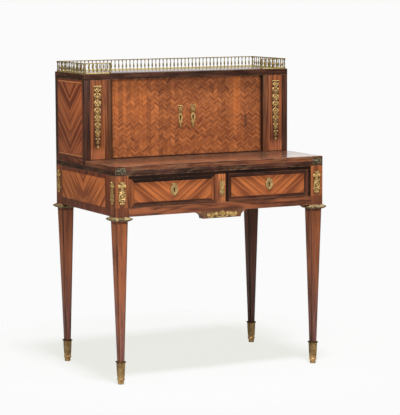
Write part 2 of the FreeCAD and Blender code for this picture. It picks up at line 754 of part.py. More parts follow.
def gallery_post(x, y):
    """Square post at a corner or an end of the gallery, waisted between the rails."""
    low = gallery_foot + gallery_rail_height
    high = gallery_top - gallery_rail_height
    middle = (low + high) / 2
    levels = ((gallery_foot, gallery_post_side), (low, gallery_post_side), (middle, gallery_waist_side),
              (high, gallery_post_side), (gallery_top, gallery_post_side))
    return stack([level_square(x, y, z, side) for z, side in levels])


def gallery_runs():
    """Start and end post of each run, seen from above."""
    x = half_width - gallery_inset
    y0 = cabinet_front + gallery_inset
    y1 = back - gallery_inset
    end = x - gallery_return
    return [((-x, y1), (x, y1)), ((-x, y0), (-x, y1)), ((x, y0), (x, y1)),
            ((-x, y0), (-end, y0)), ((end, y0), (x, y0))]


def gallery_rail(run, width, z):
    """Straight rail between the posts of a run."""
    (xa, ya), (xb, yb) = run
    half = width / 2
    gap = gallery_post_side / 2
    if ya == yb:
        return box(xa + gap, xb - gap, ya - half, ya + half, z, z + gallery_rail_height)
    return box(xa - half, xa + half, ya + gap, yb - gap, z, z + gallery_rail_height)


def build_gallery():
    """Gallery along the back, both sides and a short way along the front."""
    runs = gallery_runs()
    top = gallery_top - gallery_rail_height
    keep("gallery_base_rails", *[gallery_rail(run, base_rail_width, gallery_foot) for run in runs])
    keep("gallery_top_rails", *[gallery_rail(run, top_rail_width, top) for run in runs])
    posts = sorted({point for run in runs for point in run})
    keep("gallery_posts", *[gallery_post(x, y) for x, y in posts])
    balusters = []
    for (xa, ya), (xb, yb) in runs:
        count = round(math.hypot(xb - xa, yb - ya) / baluster_pitch)
        for i in range(1, count):
            share = i / count
            balusters.append(baluster(xa + (xb - xa) * share, ya + (yb - ya) * share))
    keep("gallery_balusters", *balusters)


def main():
    """Builds every piece and writes one file for each node."""
    build_legs()
    build_frieze()
    build_mounts()
    build_boards()
    build_cabinet()
    build_gallery()
    for side, name in ((-1, "left"), (1, "right")):
        build_drawer(side, name)
        build_tambour(side, name)
    os.makedirs("parts", exist_ok=True)
    for name, shape in nodes.items():
        if not shape.isValid():
            raise ValueError(name + " is not a valid shape")
        shape.exportStep("parts/" + name + ".step")


main()
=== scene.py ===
"""Looks of a bonheur du jour, a small writing desk with a tambour cabinet, built round its frame.

Everything is in metres in the frame of the desk: the origin on the floor under its middle, +X to the
right of someone who sits at it, +Y to the back, +Z up. Each sub-assembly is a class that builds its
meshes and dresses them, and each finish is a small class that builds one material.
"""
import json
import logging
import math
from dataclasses import dataclass, field
from enum import Enum
from typing import Callable, Iterable, NamedTuple, Sequence, Union

import bmesh
import bpy
from mathutils import Matrix, Vector

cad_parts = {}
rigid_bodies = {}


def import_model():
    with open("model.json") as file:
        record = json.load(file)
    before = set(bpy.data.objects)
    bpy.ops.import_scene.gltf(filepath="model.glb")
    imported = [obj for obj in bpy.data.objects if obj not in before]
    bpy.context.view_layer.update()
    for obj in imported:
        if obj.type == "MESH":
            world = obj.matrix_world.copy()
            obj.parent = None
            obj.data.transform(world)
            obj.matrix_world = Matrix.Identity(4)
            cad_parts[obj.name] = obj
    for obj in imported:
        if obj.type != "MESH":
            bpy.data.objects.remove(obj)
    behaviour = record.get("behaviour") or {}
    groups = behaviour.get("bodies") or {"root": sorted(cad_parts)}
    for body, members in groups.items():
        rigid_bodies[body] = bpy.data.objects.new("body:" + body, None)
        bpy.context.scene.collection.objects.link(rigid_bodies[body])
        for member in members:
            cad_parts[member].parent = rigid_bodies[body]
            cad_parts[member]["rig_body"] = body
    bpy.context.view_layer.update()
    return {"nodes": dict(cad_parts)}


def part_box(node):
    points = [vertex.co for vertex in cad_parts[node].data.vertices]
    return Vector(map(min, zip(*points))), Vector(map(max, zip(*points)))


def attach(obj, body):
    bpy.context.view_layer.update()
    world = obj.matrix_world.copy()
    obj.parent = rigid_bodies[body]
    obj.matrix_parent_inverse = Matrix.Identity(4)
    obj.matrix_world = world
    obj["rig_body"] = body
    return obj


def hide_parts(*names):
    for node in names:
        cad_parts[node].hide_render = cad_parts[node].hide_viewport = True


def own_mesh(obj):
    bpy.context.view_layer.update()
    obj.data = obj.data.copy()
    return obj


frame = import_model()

Colour = tuple[float, float, float, float]
Point2 = tuple[float, float]
Point3 = tuple[float, float, float]
Face = tuple[int, ...]
Shape = tuple[list[Point3], list[Face]]
Node = bpy.types.Node
Socket = bpy.types.NodeSocket
Feed = Union[float, Sequence[float], "Value"]
Feeds = Union[dict[Union[str, int], Feed], None]

log = logging.getLogger("bonheur_du_jour")

MM = 0.001
SMOOTH_ANGLE = math.radians(32)
LAID = "laid"
RELIEF = "relief"
CARCASS = "carcass"
DRAWER_EYE = 27 * MM
FLOAT_LEAST, FLOAT_MOST, FLOAT_RESULT = 2, 3, 1


def srgb(red: float, green: float, blue: float) -> Colour:
    """Turns a colour as it is seen on a screen into the linear one that a shader takes.

    Args:
        red: Red, 0 to 255.
        green: Green, 0 to 255.
        blue: Blue, 0 to 255.

    Returns:
        The linear colour with full alpha.
    """
    toe, slope, offset, power = 0.04045, 12.92, 0.055, 2.4

    def linear(value: float) -> float:
        """Linear value of one channel."""
        share = value / 255
        return share / slope if share <= toe else ((share + offset) / (1 + offset)) ** power

    return linear(red), linear(green), linear(blue), 1.0


# Near black painted behind keyholes: painted shade inside the openings.
HOLE_SHADE = srgb(14, 9, 6)
# Dark brown painted where shadow falls: by the stiles, at the foot of the tambour and along the sill.
SHADOW_BROWN = srgb(30, 18, 12)


# --- Node graphs --------------------------------------------------------------------------------
def operator(operation: str, swapped: bool = False) -> Callable[["Value", Feed], "Value"]:
    """Makes a Python operator that adds a Math node, with its operands swapped if asked."""
    return lambda value, other: value.graph.math(operation,
        *((other, value) if swapped else (value, other)))


class Value:
    """What a socket puts out. Sums, products and the methods below add nodes to its graph."""

    def __init__(self, graph: "Graph", socket: Socket) -> None:
        """Keeps the socket and the graph that it is in."""
        self.graph, self.socket = graph, socket

    __add__ = __radd__ = operator("ADD")
    __mul__ = __rmul__ = operator("MULTIPLY")
    __sub__, __rsub__ = operator("SUBTRACT"), operator("SUBTRACT", swapped=True)
    __truediv__, __rtruediv__ = operator("DIVIDE"), operator("DIVIDE", swapped=True)
    least, most = operator("MINIMUM"), operator("MAXIMUM")

    def __abs__(self) -> "Value":
        """The value without its sign."""
        return self.math("ABSOLUTE")

    def math(self, operation: str, *others: Feed) -> "Value":
        """Adds a Math node that takes this value first."""
        return self.graph.math(operation, self, *others)

    def split(self) -> list["Value"]:
        """Parts a vector into X, Y and Z."""
        return [Value(self.graph, part)
            for part in self.graph.add("ShaderNodeSeparateXYZ", {0: self}).outputs]

    def noise(self, scale: Feed, detail: float = 2.0, distortion: float = 0.0) -> "Value":
        """Noise of about 0.5 in the mean, by scale in features to the metre, finer layers and warping."""
        return self.graph.value("ShaderNodeTexNoise", 0,
            {"Vector": self, "Scale": scale, "Detail": detail, "Distortion": distortion})

    def chance(self) -> "Value":
        """An even random value for each whole place."""
        return self.graph.value("ShaderNodeTexWhiteNoise", "Value", {"Vector": self}, noise_dimensions="3D")

    def rise(self, low: Feed, high: Feed, start: Feed = 0.0, end: Feed = 1.0) -> "Value":
        """A smooth step from start, where the value is low, to end, where it is high."""
        return self.graph.value("ShaderNodeMapRange", 0, dict(enumerate((self, low, high, start, end))),
            interpolation_type="SMOOTHSTEP")

    def fall(self, low: Feed, high: Feed) -> "Value":
        """A smooth step from 1 down to 0."""
        return self.rise(low, high, 1, 0)

    def between(self, low: float, high: float, soft: float = 0.3 * MM) -> "Value":
        """Mask of the band between two values, with edges as wide as soft."""
        half = soft / 2
        return self.rise(low - half, low + half) * self.fall(high - half, high + half)

    def mix(self, share: Feed, other: Feed) -> "Value":
        """This colour with a share of another one."""
        return self.graph.mix(share, self, other)

    def shade(self, tone: Feed) -> "Value":
        """This colour, darker by a tone, or lighter where the tone is over 1."""
        return self.graph.mix(1, self, self.graph.join(tone, tone, tone), "MULTIPLY")


class Graph:
    """Builds nodes in one tree, with a short call for each kind that the finishes use."""

    def __init__(self, tree: bpy.types.NodeTree) -> None:
        """Takes the tree that the nodes go in."""
        self.tree = tree

    def add(self, kind: str, feeds: Feeds = None, **settings: object) -> Node:
        """Adds one node.

        Args:
            kind: Blender's name of the node type.
            feeds: What goes into its inputs, by name or place: a link, or a constant on the input itself.
            **settings: Properties of the node to set.

        Returns:
            The new node.
        """
        node = self.tree.nodes.new(kind)
        for name, value in settings.items():
            setattr(node, name, value)
        for name, value in (feeds or {}).items():
            if isinstance(value, Value):
                self.tree.links.new(value.socket, node.inputs[name])
            else:
                node.inputs[name].default_value = value
        return node

    def value(self, kind: str, output: str | int = 0, feeds: Feeds = None, **settings: object) -> Value:
        """Adds one node and takes one of its outputs."""
        return Value(self, self.add(kind, feeds, **settings).outputs[output])

    def math(self, operation: str, *values: Feed, clamp: bool = False) -> Value:
        """Adds a Math node, or a Vector Math node where an operand is a vector.

        Args:
            operation: Name of the operation, such as MULTIPLY.
            *values: Its operands.
            clamp: Whether the result is kept within 0 to 1.

        Returns:
            The result.
        """
        if any(isinstance(v, tuple) or isinstance(v, Value) and v.socket.type == "VECTOR" for v in values):
            return self.value("ShaderNodeVectorMath", 0, dict(enumerate(values)), operation=operation)
        return self.value("ShaderNodeMath", 0, dict(enumerate(values)), operation=operation,
            use_clamp=clamp)

    def join(self, x: Feed, y: Feed, z: Feed) -> Value:
        """Makes a vector of X, Y and Z."""
        return self.value("ShaderNodeCombineXYZ", 0, {0: x, 1: y, 2: z})

    def mix(self, share: Feed, first: Feed, second: Feed, blend: str = "MIX") -> Value:
        """Mixes two colours by the share of the second."""
        return self.value("ShaderNodeMix", 2, {0: share, 6: first, 7: second}, data_type="RGBA",
            blend_type=blend)

    def place(self) -> Value:
        """Object coordinates, which are places in the frame of the desk."""
        return self.value("ShaderNodeTexCoord", "Object")

    def effect(self, effect: "Effect", **values: Feed) -> list[Value]:
        """Places a shared effect, fed by name with _ for a space, and gives its outputs."""
        feeds = {name.replace("_", " "): value for name, value in values.items()}
        node = self.add("ShaderNodeGroup", feeds, node_tree=effect.tree())
        return [Value(self, socket) for socket in node.outputs]


class Effect:
    """A shader node group that several finishes share. It is built the first time it is placed."""

    KINDS = {float: "NodeSocketFloat", tuple: "NodeSocketVector", list: "NodeSocketColor"}

    def __init__(self, name: str, inputs: dict[str, object], outputs: dict[str, type],
            fill: Callable[[Graph, dict[str, Value]], dict[str, Value]]) -> None:
        """Keeps what the group is built from.

        Args:
            name: Name of the group.
            inputs: Names and defaults: a number, a tuple for a vector or a list for a colour.
            outputs: Names and types of what it puts out.
            fill: Builds the nodes from the inputs and gives the outputs.
        """
        self.name, self.inputs, self.outputs, self.fill = name, inputs, outputs, fill

    def tree(self) -> bpy.types.NodeTree:
        """The node group, built once."""
        made = bpy.data.node_groups.get(self.name)
        if made is not None:
            return made
        made = bpy.data.node_groups.new(self.name, "ShaderNodeTree")
        for name, value in self.inputs.items():
            socket = made.interface.new_socket(name, in_out="INPUT", socket_type=self.KINDS[type(value)])
            socket.default_value = value
        for name, kind in self.outputs.items():
            made.interface.new_socket(name, in_out="OUTPUT", socket_type=self.KINDS[kind])
        graph = Graph(made)
        start = graph.add("NodeGroupInput")
        given = {name: Value(graph, start.outputs[name]) for name in self.inputs}
        graph.add("NodeGroupOutput", self.fill(graph, given))
        return made


def fill_grain(graph: Graph, given: dict[str, Value]) -> dict[str, Value]:
    """Wood grain: broad figure, dark and pale streaks and fine pores, drawn out along the first axis."""
    seed = graph.join(given["Seed"], given["Seed"] * 1.7, given["Seed"])
    spot = given["Vector"] + seed
    scale = 1.0 / given["Figure"]
    figure = (spot * (0.045, 1, 0.3)).noise(scale, 3, 0.5)
    broad = (spot * (0.03, 1, 0.3)).noise(scale * 0.35, 2, 0.9)
    vein = abs(broad - 0.5).fall(0, 0.05)
    pores = (spot * (0.06, 1, 1)).noise(1500, 1).rise(0.58, 0.7)
    cloud = (spot * (0.35, 1, 0.6)).noise(14, 2) - 0.5
    centred = figure - 0.5
    amount = centred * given["Contrast"] * 5 + 0.55
    amount = cloud * 0.9 + amount
    pale = abs(broad - 0.42).fall(0, 0.03)
    streak = pale * 0.8 + vein * -1
    amount = streak * given["Veins"] + amount
    amount = graph.math("MULTIPLY_ADD", pores, -0.16, amount, clamp=True)
    height = 1 - pores
    return {"Color": graph.mix(amount, given["Dark"], given["Light"]), "Height": height, "Tone": amount}


GRAIN = Effect("Wood grain", {"Vector": (0.0, 0.0, 0.0), "Light": [0.6, 0.3, 0.15, 1.0],
    "Dark": [0.2, 0.08, 0.04, 1.0], "Figure": 0.008, "Contrast": 0.5, "Veins": 0.4, "Seed": 0.0},
    {"Color": list, "Height": float, "Tone": float}, fill_grain)


def fill_lay(graph: Graph, given: dict[str, Value]) -> dict[str, Value]:
    """Turns two measures of a surface so that the first axis runs along the grain of the veneer."""
    cosine = given["Angle"].math("COSINE")
    sine = given["Angle"].math("SINE")
    along = given["U"] * cosine + given["V"] * sine
    across = given["V"] * cosine - given["U"] * sine
    return {"Vector": graph.join(along, across, 0)}


LAY = Effect("Veneer lay", {"U": 0.0, "V": 0.0, "Angle": 0.0}, {"Vector": tuple}, fill_lay)


def fill_wear(graph: Graph, given: dict[str, Value]) -> dict[str, Value]:
    """Rubbed edges of a box: high where two of the three ways to its faces are short."""
    near = (given["Vector"] - given["Low"]).least(given["High"] - given["Vector"])
    x, y, z = near.split()
    least = x.least(y.least(z))
    most = x.most(y.most(z))
    total = x + y + z
    second = total - least - most
    ragged = given["Vector"].noise(55, 4)
    reach = given["Width"] * ragged.rise(0.35, 0.7, 0.15, 1.6)
    rub = (second / reach).fall(0.2, 1)
    return {"Mask": rub * ragged.rise(0.3, 0.6, 0.25, 1)}


WEAR = Effect("Edge wear", {"Vector": (0.0, 0.0, 0.0), "Low": (0.0, 0.0, 0.0), "High": (1.0, 1.0, 1.0),
    "Width": 0.003}, {"Mask": float}, fill_wear)


def fill_dirt_and_shade(graph: Graph, given: dict[str, Value]) -> dict[str, Value]:
    """Old wax and soiling with painted shade, in a ragged oblong round a mount."""
    u = abs(given["U"] - given["Middle U"])
    v = abs(given["V"] - given["Middle V"])
    outward = (u - given["Half U"]).most(v - given["Half V"])
    ragged = graph.join(given["U"], given["V"], 0).noise(220, 3)
    outward = (ragged - 0.5) * (9 * MM) + outward
    return {"Mask": outward.fall(-1.5 * MM, 1.5 * MM)}


DIRT_AND_SHADE = Effect("Dirt and painted shade round a mount", {"U": 0.0, "V": 0.0, "Middle U": 0.0, "Middle V": 0.0, "Half U": 0.01,
    "Half V": 0.01}, {"Mask": float}, fill_dirt_and_shade)


def fill_patina(graph: Graph, given: dict[str, Value]) -> dict[str, Value]:
    """Old brass: bright where it is rubbed, dull brown in clouds and nearly black in the recesses."""
    cloud = given["Vector"].noise(given["Scale"], 3, 0.3)
    fine = given["Vector"].noise(given["Scale"] * 9, 2)
    dull = (fine * 0.35 + cloud).rise(0.5, 0.85)
    dull = dull * given["Dulling"]
    metal = given["Bright"].mix(dull, given["Dull"])
    dark = graph.math("MULTIPLY_ADD", fine - 0.5, 0.5, given["Recess"], clamp=True)
    rough = graph.math("MULTIPLY_ADD", dull.most(dark), 0.3, given["Roughness"], clamp=True)
    return {"Color": metal.mix(dark, given["Soot"]), "Roughness": rough, "Height": fine}


PATINA = Effect("Brass patina", {"Vector": (0.0, 0.0, 0.0), "Scale": 60.0, "Dulling": 0.6, "Recess": 0.0,
    "Roughness": 0.25, "Bright": [0.8, 0.6, 0.3, 1.0], "Dull": [0.4, 0.3, 0.15, 1],
    "Soot": [0.03, 0.02, 0.01, 1]}, {"Color": list, "Roughness": float, "Height": float}, fill_patina)


# --- Finishes -------------------------------------------------------------------------------------
@dataclass(frozen=True)
class Species:
    """A kind of veneer: its two colours, the width of its figure in metres and how strong it is."""

    light: Colour
    dark: Colour
    figure: float = 6 * MM
    contrast: float = 0.55
    veins: float = 0.35


class Wood(Enum):
    """The woods of the desk."""

    TULIPWOOD = Species(srgb(214, 122, 62), srgb(128, 64, 34), 11 * MM, 0.55, 0.4)
    CUT_TULIPWOOD = Species(srgb(191, 114, 62), srgb(118, 62, 36), 5 * MM, 0.55, 0.4)
    ORANGE_TULIPWOOD = Species(srgb(197, 112, 57), srgb(127, 65, 32), 12 * MM, 0.45, 0.5)
    RED_TULIPWOOD = Species(srgb(186, 108, 62), srgb(112, 58, 38), 6 * MM, 0.4, 0.2)
    BROAD_TULIPWOOD = Species(srgb(188, 104, 58), srgb(108, 48, 28), 14 * MM, 0.55, 0.45)
    DARK_TULIPWOOD = Species(srgb(160, 92, 50), srgb(90, 46, 28), 6 * MM, 0.6, 0.45)
    PURPLEWOOD = Species(srgb(150, 86, 52), srgb(80, 42, 28), 5 * MM, 0.6, 0.4)
    AMARANTH = Species(srgb(164, 106, 90), srgb(86, 50, 46), 5 * MM, 0.5, 0.3)
    ROSEWOOD = Species(srgb(138, 71, 43), srgb(66, 29, 18), 5 * MM, 0.6, 0.4)
    KINGWOOD = Species(srgb(98, 56, 37), srgb(44, 23, 16), 4 * MM, 0.6, 0.4)
    FADED_KINGWOOD = Species(srgb(162, 116, 91), srgb(92, 57, 43), 7 * MM, 0.7, 0.5)
    EBONISED = Species(srgb(90, 52, 36), srgb(34, 17, 11), 5 * MM, 0.6, 0.3)
    # Not a wood of its own: near black for painted shadow under the leaf, on the top rail and the drawer
    # mouldings.
    BLACKENED = Species(srgb(50, 25, 15), srgb(19, 9, 6), 5 * MM, 0.6, 0.3)
    BOXWOOD = Species(srgb(222, 166, 108), srgb(170, 112, 66), 2 * MM, 0.3, 0.0)
    MAHOGANY = Species(srgb(128, 72, 48), srgb(78, 40, 28), 5 * MM, 0.4, 0.1)
    OAK = Species(srgb(186, 148, 102), srgb(128, 94, 60), 4 * MM, 0.55, 0.15)
    OLD_OAK = Species(srgb(132, 100, 68), srgb(84, 62, 42), 3 * MM, 0.45, 0.2)


class Run(Enum):
    """Which way the grain of a plain piece runs."""

    ALONG_X = (0, 1, 2)
    ALONG_Y = (1, 0, 2)
    ALONG_Z = (2, 0, 1)


@dataclass
class Surface:
    """What a finish gives its shader."""

    colour: Feed
    roughness: Feed
    height: Feed
    metallic: Feed = 0.0
    bump: float = 0.25
    bump_depth: float = 0.1 * MM
    coat: Feed | None = None


class Grain(NamedTuple):
    """What the grain of a wood puts out."""

    colour: Value
    height: Value
    tone: Value


def grain_of(wood: Wood, lay: Value, seed: float = 0.0) -> Grain:
    """Places the grain of a wood along the first axis of lay. Seed moves its figure."""
    kind = wood.value
    return Grain(*lay.graph.effect(GRAIN, Vector=lay, Light=kind.light, Dark=kind.dark, Figure=kind.figure,
        Contrast=kind.contrast, Veins=kind.veins, Seed=seed))


@dataclass(frozen=True)
class Finish:
    """A finish that paints one material. The kinds of finish differ in what paint() puts on it."""

    name: str
    roughness: float = 0.42
    coat: float = 0.22
    coat_roughness: float = 0.2
    specular: float = 0.3

    def paint(self, graph: Graph) -> Surface:
        """Builds the nodes of the surface."""
        raise NotImplementedError

    def material(self) -> bpy.types.Material:
        """The material, built the first time it is asked for."""
        made = bpy.data.materials.get(self.name)
        if made is not None:
            return made
        made = bpy.data.materials.new(self.name)
        made.use_nodes = True
        made.node_tree.nodes.clear()
        graph = Graph(made.node_tree)
        surface = self.paint(graph)
        bump = graph.value("ShaderNodeBump", "Normal",
            {"Strength": surface.bump, "Distance": surface.bump_depth, "Height": surface.height})
        shader = graph.value("ShaderNodeBsdfPrincipled", 0,
            {"Base Color": surface.colour, "Roughness": surface.roughness, "Metallic": surface.metallic,
            "Normal": bump, "Coat Weight": self.coat if surface.coat is None else surface.coat,
            "Coat Roughness": self.coat_roughness, "Specular IOR Level": self.specular})
        graph.add("ShaderNodeOutputMaterial", {"Surface": shader})
        return made

    def sheen(self, grain: Grain) -> Value:
        """Roughness of polished wood, which follows its grain."""
        return grain.tone * -0.08 + (self.roughness + 0.04)


@dataclass(frozen=True)
class PlainWood(Finish):
    """One wood with its grain one way, rubbed along the edges of its box."""

    wood: Wood = Wood.MAHOGANY
    run: Run = Run.ALONG_X
    low: Point3 = (-1.0, -1.0, -1.0)
    high: Point3 = (1.0, 1.0, 2.0)
    wear: float = 2.5 * MM
    worn: Colour = srgb(146, 108, 74)
    plank: float = 0.0
    seam: float = 0.7 * MM
    dirt: tuple[float, ...] = ()

    def paint(self, graph: Graph) -> Surface:
        """Grain under rubbed edges, in planks that each have their own figure and tone."""
        place = graph.place()
        axes = place.split()
        lay = graph.join(*[axes[i] for i in self.run.value])
        if self.plank:
            share = axes[2] / self.plank
            own = graph.join(share.math("FLOOR"), 0, 5).chance()
            grain = grain_of(self.wood, lay + graph.join(own, own, own))
            seam = (share.math("FRACT") * self.plank).between(0, self.seam)
            colour = grain.colour.shade(own * 0.3 + 0.85)
            return Surface(colour.mix(seam * 0.85, srgb(22, 15, 10)), self.sheen(grain), grain.height
                - seam)
        grain = grain_of(self.wood, lay)
        rub = graph.effect(WEAR, Vector=place, Low=self.low, High=self.high, Width=self.wear)[0]
        colour = grain.colour.mix(rub * 0.55, self.worn)
        # Round a mount, as on the apron: a darker oblong, partly soiling and partly painted shade.
        if self.dirt:
            middle_x, middle_z, half_x, half_z = self.dirt
            dirt = graph.effect(DIRT_AND_SHADE, U=axes[0], V=axes[2], Middle_U=middle_x, Middle_V=middle_z,
                Half_U=half_x, Half_V=half_z)[0]
            colour = colour.mix(dirt * 0.4, srgb(48, 26, 18))
        return Surface(colour, self.sheen(grain), grain.height)


@dataclass(frozen=True)
class ChevronPanel(Finish):
    """A panel of veneer laid in a V about its middle, inside dark borders with light strings."""

    along: int = 0
    middle: float = 0.0
    mirrored: bool = False
    low: Point2 = (-0.1, 0.0)
    high: Point2 = (0.1, 0.1)
    angle: float = math.radians(38)
    string: float = 1.2 * MM
    field: Wood = Wood.TULIPWOOD
    border: Wood = Wood.KINGWOOD
    end_strings: bool = True
    seed: float = 0.0
    face: float = 0.0
    keyholes: tuple[Point2, ...] = ()
    string_tone: Colour = srgb(206, 128, 76)
    dark_back: float = 0.0

    def paint(self, graph: Graph) -> Surface:
        """The V, its strings, the border round them, painted shade towards the back and painted shade in
        the keyholes.
        """
        place = graph.place()
        axes = place.split()
        side = abs(axes[0]) if self.mirrored else axes[self.along]
        rise = axes[2]
        fold = abs(side - self.middle)
        lay = graph.effect(LAY, U=fold, V=rise, Angle=self.angle)[0]
        left = side.rise(self.middle - 0.1 * MM, self.middle + 0.1 * MM)
        lay = lay + graph.join(0, left * (2 * MM), 0)
        leaf = grain_of(self.field, lay, self.seed)
        edge = grain_of(self.border, graph.join(rise, side, 0), self.seed + 3)
        (u0, v0), (u1, v1) = self.low, self.high
        inside = side.between(u0, u1) * rise.between(v0, v1)
        colour = edge.colour.mix(inside, leaf.colour)
        dark = Wood.KINGWOOD.value.dark
        for at in (v0, v1) if self.end_strings else ():
            for spread, strength, tone in ((1.4 * MM, 0.6, dark), (0, 0.85, self.string_tone)):
                half = self.string / 2 + spread
                line = rise.between(at - half, at + half) * side.between(u0, u1)
                colour = colour.mix(line * strength, tone)
        seam = fold.between(-0.2 * MM, 0.2 * MM) * inside
        colour = colour.mix(seam * 0.5, dark)
        # Painted shade: darker towards the back edge of the panel.
        if self.dark_back:
            back = side.rise(u1 + 3 * MM, u1 + 7 * MM)
            colour = colour.mix(back * self.dark_back, dark)
        within = axes[1].rise(self.face + 0.1 * MM, self.face + 0.6 * MM)
        # Painted shade in the keyholes: near black on the panel behind each escutcheon.
        for across, up in self.keyholes:
            near = axes[0].between(across - 5 * MM, across + 5 * MM) * within
            colour = colour.mix(near * rise.between(up - 16 * MM, up + 16 * MM), HOLE_SHADE)
        return Surface(colour, self.sheen(leaf), leaf.height)


@dataclass(frozen=True)
class MouldingVeneer(Finish):
    """Moulding of a drawer: dark members with pale mitre lines, of which the upper is painted nearly black
    as shadow under the leaf, less so on the right drawer. The uprights and the strips outside them have
    faded on the left drawer; on the right one they are dark, and the strips are painted black as shadow."""

    low: Point2 = (0.016, 0.6047)
    high: Point2 = (0.353, 0.7003)
    strip: float = 9 * MM
    mitre: float = 0.35 * MM

    def paint(self, graph: Graph) -> Surface:
        """Members by how near they are to the edges of the drawer."""
        x, y, z = graph.place().split()
        side = abs(x)
        from_end = (side - (self.low[0] + self.strip)).least(self.high[0] - self.strip - side)
        from_top = self.high[1] - z
        from_level = from_top.least(z - self.low[1])
        right = x.rise(-1 * MM, 1 * MM)
        level = grain_of(Wood.KINGWOOD, graph.join(x, z, y))
        lay = graph.join(z, x, y)
        faded = grain_of(Wood.DARK_TULIPWOOD, lay, 2)
        upright = faded.colour.mix(right, grain_of(Wood.KINGWOOD, lay, 2).colour)
        on_side = (from_level - from_end).rise(0, 0.1 * MM)
        tone = right * 0.35 + 0.76
        colour = level.colour.shade(tone).mix(on_side, upright)
        # Near black for painted shadow: on the upper member under the leaf, and on the end strips of the
        # right drawer.
        black = grain_of(Wood.BLACKENED, graph.join(x, z, y))
        end = grain_of(Wood.PURPLEWOOD, lay, 6).colour.mix(right, black.colour)
        # Painted shadow on the upper member, weaker on the right drawer.
        upper = from_top.fall(12 * MM, 16 * MM) * on_side.fall(0, 1) * (right * -0.62 + 1)
        colour = colour.mix(upper, black.colour)
        mitre = (from_level - from_end).between(-self.mitre, self.mitre) * from_end.rise(0, 1 * MM)
        worn = graph.join(x, y, z).noise(90, 3).rise(0.4, 0.62)
        colour = colour.mix(mitre * worn * 0.6, srgb(168, 128, 88))
        crest = from_level.between(0.6 * MM, 2.6 * MM, 0.8 * MM) * worn * 0.22
        colour = colour.mix(crest, srgb(150, 104, 68))
        colour = end.mix(from_end.rise(-0.2 * MM, 0.2 * MM), colour)
        return Surface(colour, self.sheen(level), level.height)


@dataclass(frozen=True)
class LegVeneer(Finish):
    """A leg and its post: a light string and a dark arris down each face of the taper, which fades from
    orange at the top to a dull purple near the foot. The four legs differ in tone, partly in their own
    wood and partly by painted shade, the back right leg darkest."""

    centre: Point2 = (0.378, 0.2285)
    collar: float = 0.558
    frieze: float = 0.573
    block_top: float = 0.6045
    panel_top: float = 0.550
    arris: float = 3.6 * MM
    string: float = 1.0 * MM
    front_tones: Point2 = (0.94, 0.72)
    back_tones: Point2 = (0.80, 0.31)
    mount_middle: float = 0.6525
    mount_half: Point2 = (12 * MM, 38 * MM)
    fade: Point2 = (0.10, 0.40)

    def paint(self, graph: Graph) -> Surface:
        """Panel, string and arris, measured from the edges of the taper."""
        x, y, z = graph.place().split()
        along_x = abs(abs(x) - self.centre[0])
        along_y = abs(abs(y) - self.centre[1])
        from_edge = abs(along_x - along_y)
        seed = x.math("SIGN") * 0.7 + y.math("SIGN")
        lay = graph.join(z, x + seed, y)
        fresh = grain_of(Wood.RED_TULIPWOOD, lay)
        faded = grain_of(Wood.AMARANTH, lay, 1)
        panel = faded.colour.mix(z.rise(*self.fade), fresh.colour)
        dark = grain_of(Wood.ROSEWOOD, lay)
        post = grain_of(Wood.DARK_TULIPWOOD, lay, 3)
        on_leg = z.fall(self.collar, self.collar + 1 * MM)
        inner = self.arris + self.string
        top, soft = self.panel_top, 0.5 * MM
        in_panel = on_leg * from_edge.rise(inner, inner + soft) * z.fall(top - soft, top)
        colour = post.colour.mix(on_leg, dark.colour).mix(in_panel, panel)
        line = on_leg * from_edge.between(self.arris, inner) * z.fall(top, top + soft)
        colour = colour.mix(line * 0.6, srgb(134, 112, 72))
        along = along_x.least(along_y)
        # Soiling with painted shade round the corner mount.
        dirt = graph.effect(DIRT_AND_SHADE, U=along, V=z, Middle_V=self.mount_middle, Half_U=self.mount_half[0],
            Half_V=self.mount_half[1])[0]
        colour = colour.mix(dirt * 0.55, srgb(52, 34, 22))
        block = z.between(self.frieze, self.block_top)
        colour = colour.mix(block * 0.7, dark.colour)
        rub = graph.place().noise(70, 3).rise(0.5, 0.68)
        bare = rub * from_edge.rise(0, 1.4 * MM, 0.35, 0)
        colour = colour.mix(bare, srgb(156, 122, 86))
        # Tones of the four legs: partly their own wood, partly painted shade, darkest at the back right.
        to_right, to_back = x.math("GREATER_THAN", 0), y.math("GREATER_THAN", 0)
        ahead = to_right * (self.front_tones[1] - self.front_tones[0]) + self.front_tones[0]
        behind = to_right * (self.back_tones[1] - self.back_tones[0]) + self.back_tones[0]
        tone = to_back * (behind - ahead) + ahead
        tone = on_leg * (tone - 1) + 1
        return Surface(colour.shade(tone), self.sheen(fresh), fresh.height)


